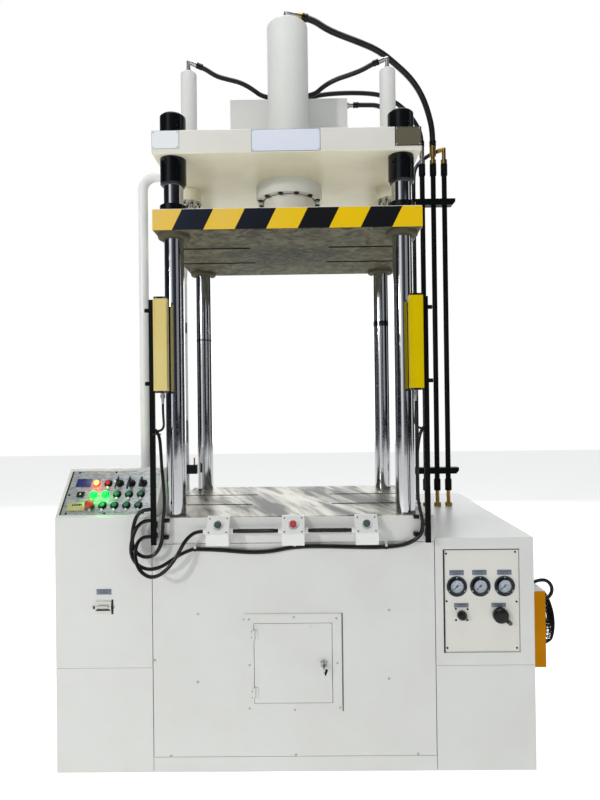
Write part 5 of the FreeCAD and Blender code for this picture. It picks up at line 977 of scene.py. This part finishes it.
def lamp_bezels():
    """Threaded rings round the lamps and the buttons; the mushroom stop has none. The rings round the lit lamps glow:
    painted lamp glow.
    """
    shape = bmesh.new()
    for column, row, x, v in CONSOLE_GRID:
        if (column, row) != (0, 2):
            glow = 1 if (column, row) == RED_LAMP else 2 if (column, row) in GREEN_LAMPS else 0
            ring(shape, on_console(x, v), 0.0146, 0.017, 0, 0.0035, steps=24, slot=glow)
    settle("lamp_bezels", shape, black_plastic, red_halo, green_halo)


KEY_STRAPS = (  # reach of a key's straps, then each one's turn on the panel and its width
    (0.036, ((-0.3, 0.005),)),
    (0.036, ((-0.25, 0.008), (0.25, 0.005))),
    (0.027, ((-0.35, 0.006), (-0.05, 0.0075), (0.35, 0.006), (0.7, 0.005))))


def selector_keys():
    """Key bows, their split rings and the straps that hang from them."""
    for index, (reach, straps) in enumerate(KEY_STRAPS):
        bow = on_console(CONSOLE_COLUMNS[index + 2], CONSOLE_ROWS[0]) @ shift(0, 0, 0.026)
        shape = bmesh.new()
        bar(shape, bow, 0.0055, 0.02, 0.013, edge=0.0022)
        ring(shape, bow @ shift(-0.004, -0.009, 0.008) @ spun(1.2, "Y"), 0.0052, 0.0074, -0.001, 0.001, steps=20,
            slot=1)
        for turn, width in straps:
            strap(shape, bow @ shift(0, -0.006, 0.009) @ spun(turn), reach, width, 0.0022, 62)
        if index == 0:
            strap(shape, bow @ shift(-0.008, -0.004, 0.01) @ spun(-0.5), 0.016, 0.01, 0.0016, 70, slot=1)
        settle("key_%d" % (index + 1), shape, black_plastic, zinc, body="key_selector_%d_body" % (index + 1))


# ---- cylinders, crown and columns
def flange_screws():
    """Screws under the main flange, nuts and studs under the return flanges."""
    shape = bmesh.new()
    under = spun(math.pi, "X")
    for number in range(12):
        turned(shape, round_spot(0.1365, 15 + 30 * number, MAIN_FLANGE) @ under,
            [(0, 0.002), (0.0058, 0.002), (0.0062, 0.007), (0.0105, 0.007), (0.0118, 0.0055), (0.0118, 0)], steps=18)
    ring(shape, shift(0, 0, MAIN_FLANGE) @ under, 0.1203, 0.1236, 0, 0.001, steps=64, slot=1)
    settle("main_flange_screws", shape, black_oxide, dark_joint_and_shade)
    shape = bmesh.new()
    for side in (-1, 1):
        for number in range(8):
            spot = shift(side * COLUMN_X, 0, RETURN_FLANGE) @ round_spot(0.0445, 22.5 + 45 * number) @ under
            turned(shape, spot, [(0, 0.009), (0.0068, 0.009), (0.0082, 0.0078), (0.0082, 0)], steps=6)
            disc(shape, spot, 0.0046, 0.0088, 0.016, steps=14, slot=1)
    settle("return_flange_nuts", shape, zinc, dull_steel)


def grub_screws():
    """A grub screw with its dark socket in each round nut."""
    shape = bmesh.new()
    for x, y in COLUMNS:
        for z, turn in ((2.4275, -0.38), (2.578, 0.5)):
            place = shift(x, y, z) @ spun(turn) @ shift(0, -0.0521, 0) @ spun(math.pi / 2, "X")
            ring(shape, place, 0.0026, 0.005, 0, 0.001, steps=18)
            disc(shape, place, 0.0027, 0, 0.0006, steps=18, slot=1)
    settle("nut_grub_screws", shape, black_oxide, dark_joint_and_shade)


# ---- cables, clips and glands
def cable_ties():
    """Ties round the front cable: band, head and cut tail."""
    shape = bmesh.new()
    for x, y, z in ((-0.377, -0.413, 0.8838), (0.015, -0.409, 0.8882), (0.375, -0.409, 0.8842)):
        ring(shape, shift(x, y, z) @ spun(math.pi / 2, "Y"), 0.0083, 0.0096, -0.0024, 0.0024, steps=24)
        head = on_front(x, z + 0.0086, y - 0.003)
        bar(shape, head, 0.0085, 0.009, 0.008, edge=0.0012, slot=1)
        bar(shape, head @ shift(0, 0.01, 0.002), 0.0044, 0.019, 0.0014, edge=0.0004, slot=1)
    settle("cable_ties", shape, black_plastic, white_plastic)


def gland_rings():
    """White domed nuts at the button boxes' conduits."""
    shape = bmesh.new()
    for x in BOX_X:
        for side in (-1, 1):
            turned(shape, shift(x + side * 0.044, CABLE_Y, 0.957) @ spun(side * math.pi / 2, "Y"),
                [(0.0086, 0), (0.0128, 0), (0.0128, 0.0085), (0.0112, 0.0125), (0.0092, 0.014), (0.0086, 0.014),
                (0.0086, 0)], steps=12)
    settle("gland_nuts", shape, white_plastic)


def hose_ferrules():
    """Crimped sleeves where each hose meets its fitting."""
    shape = bmesh.new()
    ends = ((MAIN_ROUTE, 0, 0.0185, MAIN_ARM), (LEFT_ROUTE, 0, 0.014, SIDE_ARM), (RIGHT_ROUTE, 0, 0.014, SIDE_ARM),
        (MAIN_ROUTE, -1, 0.0175, 0), (CROSS_ROUTE, -1, 0.0138, 0), (TANK_ROUTE, 0, 0.0138, 0),
        (CROSS_ROUTE, 0, 0.0138, 0), (LEFT_ROUTE, -1, 0.0138, 0), (RIGHT_ROUTE, -1, 0.0138, 0))
    for route, end, radius, start in ends:
        first, second = (route[0], route[1]) if end == 0 else (route[-1], route[-2])
        way = (Vector(second) - Vector(first)).normalized()
        bore = 0.0146 if route is MAIN_ROUTE else 0.0111
        neck = radius - 0.0012
        turned(shape, aimed(Vector(first) + way * start, way), [(bore, 0), (radius, 0.001), (radius, 0.009),
            (neck, 0.0105), (neck, 0.013), (radius, 0.0145), (radius, 0.026), (bore, 0.029), (bore, 0)], steps=20)
    settle("hose_ferrules", shape, black_oxide)


def fan_lead_sleeve():
    """Red shrink sleeve where the fan's lead leaves the cabinet."""
    shape = bmesh.new()
    ring(shape, aimed(FAN_LEAD_ROUTE[0], Vector((1, 0, 0))), 0.0079, 0.0094, 0.004, 0.032, steps=20)
    settle("fan_lead_sleeve", shape, red_sleeve)


GUARD_RINGS = ((0.1297, 0.015), (0.125, 0.031), (0.1205, 0.044), (0.107, 0.06), (0.089, 0.0635),
               (0.071, 0.0635), (0.053, 0.0635), (0.035, 0.0635))  # radius and height over the cooler


def guard_hoops():
    """Finer hoops and wires between the guard's stepped rings."""
    shape = bmesh.new()
    place = shift(*FAN_FACE) @ spun(math.pi / 2, "Y")
    for radius, height in GUARD_RINGS:
        ring(shape, place, radius - 0.0015, radius + 0.0015, height + 0.0005, height + 0.0035, steps=40)
    for number in range(24):
        side = place @ spun(math.radians(15 * number + 7.5)) @ shift(0.133, 0, 0)
        bar(shape, side @ spun(-0.316, "Y"), 0.0022, 0.0022, 0.057)
    settle("guard_hoops", shape, black_enamel)


def curtain_details():
    """Raised ribs along each sensor bar, its screws at the caps and the nut of its plug."""
    shape = bmesh.new()
    middle = (CURTAIN_LOW.z + CURTAIN_HIGH.z) / 2 + 0.021
    length = CURTAIN_HIGH.z - PLUG_TOP - 0.02
    # The left bar's ribs take the paler yellow: painted glare.
    for side, rib in ((-1, 1), (1, 0)):
        x = side * CURTAIN_X
        for offset in (-0.0215, 0.0215):
            bar(shape, on_front(x + offset, middle, CURTAIN_LOW.y + 0.0003), 0.0045, length, 0.0012, edge=0.0004,
                slot=rib)
        for z in (PLUG_TOP + 0.004, CURTAIN_HIGH.z - 0.004):
            for offset in (-0.016, 0.016):
                screw(shape, on_front(x + offset, z, CURTAIN_LOW.y + 0.002), 0.0026, 0.0016, slot=2)
        turned(shape, shift(side * PLUG_X, (CURTAIN_LOW.y + CURTAIN_HIGH.y) / 2, PLUG_TOP - 0.018),
            [(0.0088, 0), (0.0098, 0), (0.0098, 0.012), (0.0088, 0.012), (0.0088, 0)], steps=6, slot=2)
    settle("sensor_bar_trim", shape, yellow, left_glare_yellow, zinc)


bpy.context.scene.view_settings.view_transform = "Standard"
for step in (make_camera, make_world, make_lights, make_floor, make_glows, lay_cords, dress_nodes, crown_plates,
        tag_plates, sheet_screws, door_fittings, clip_blocks, joint_lines, gauge_faces, bold_needles, knob_pointer,
        console_plates, lamp_bezels, selector_keys, flange_screws, grub_screws, cable_ties, gland_rings,
        hose_ferrules, fan_lead_sleeve, curtain_details, guard_hoops):
    step()
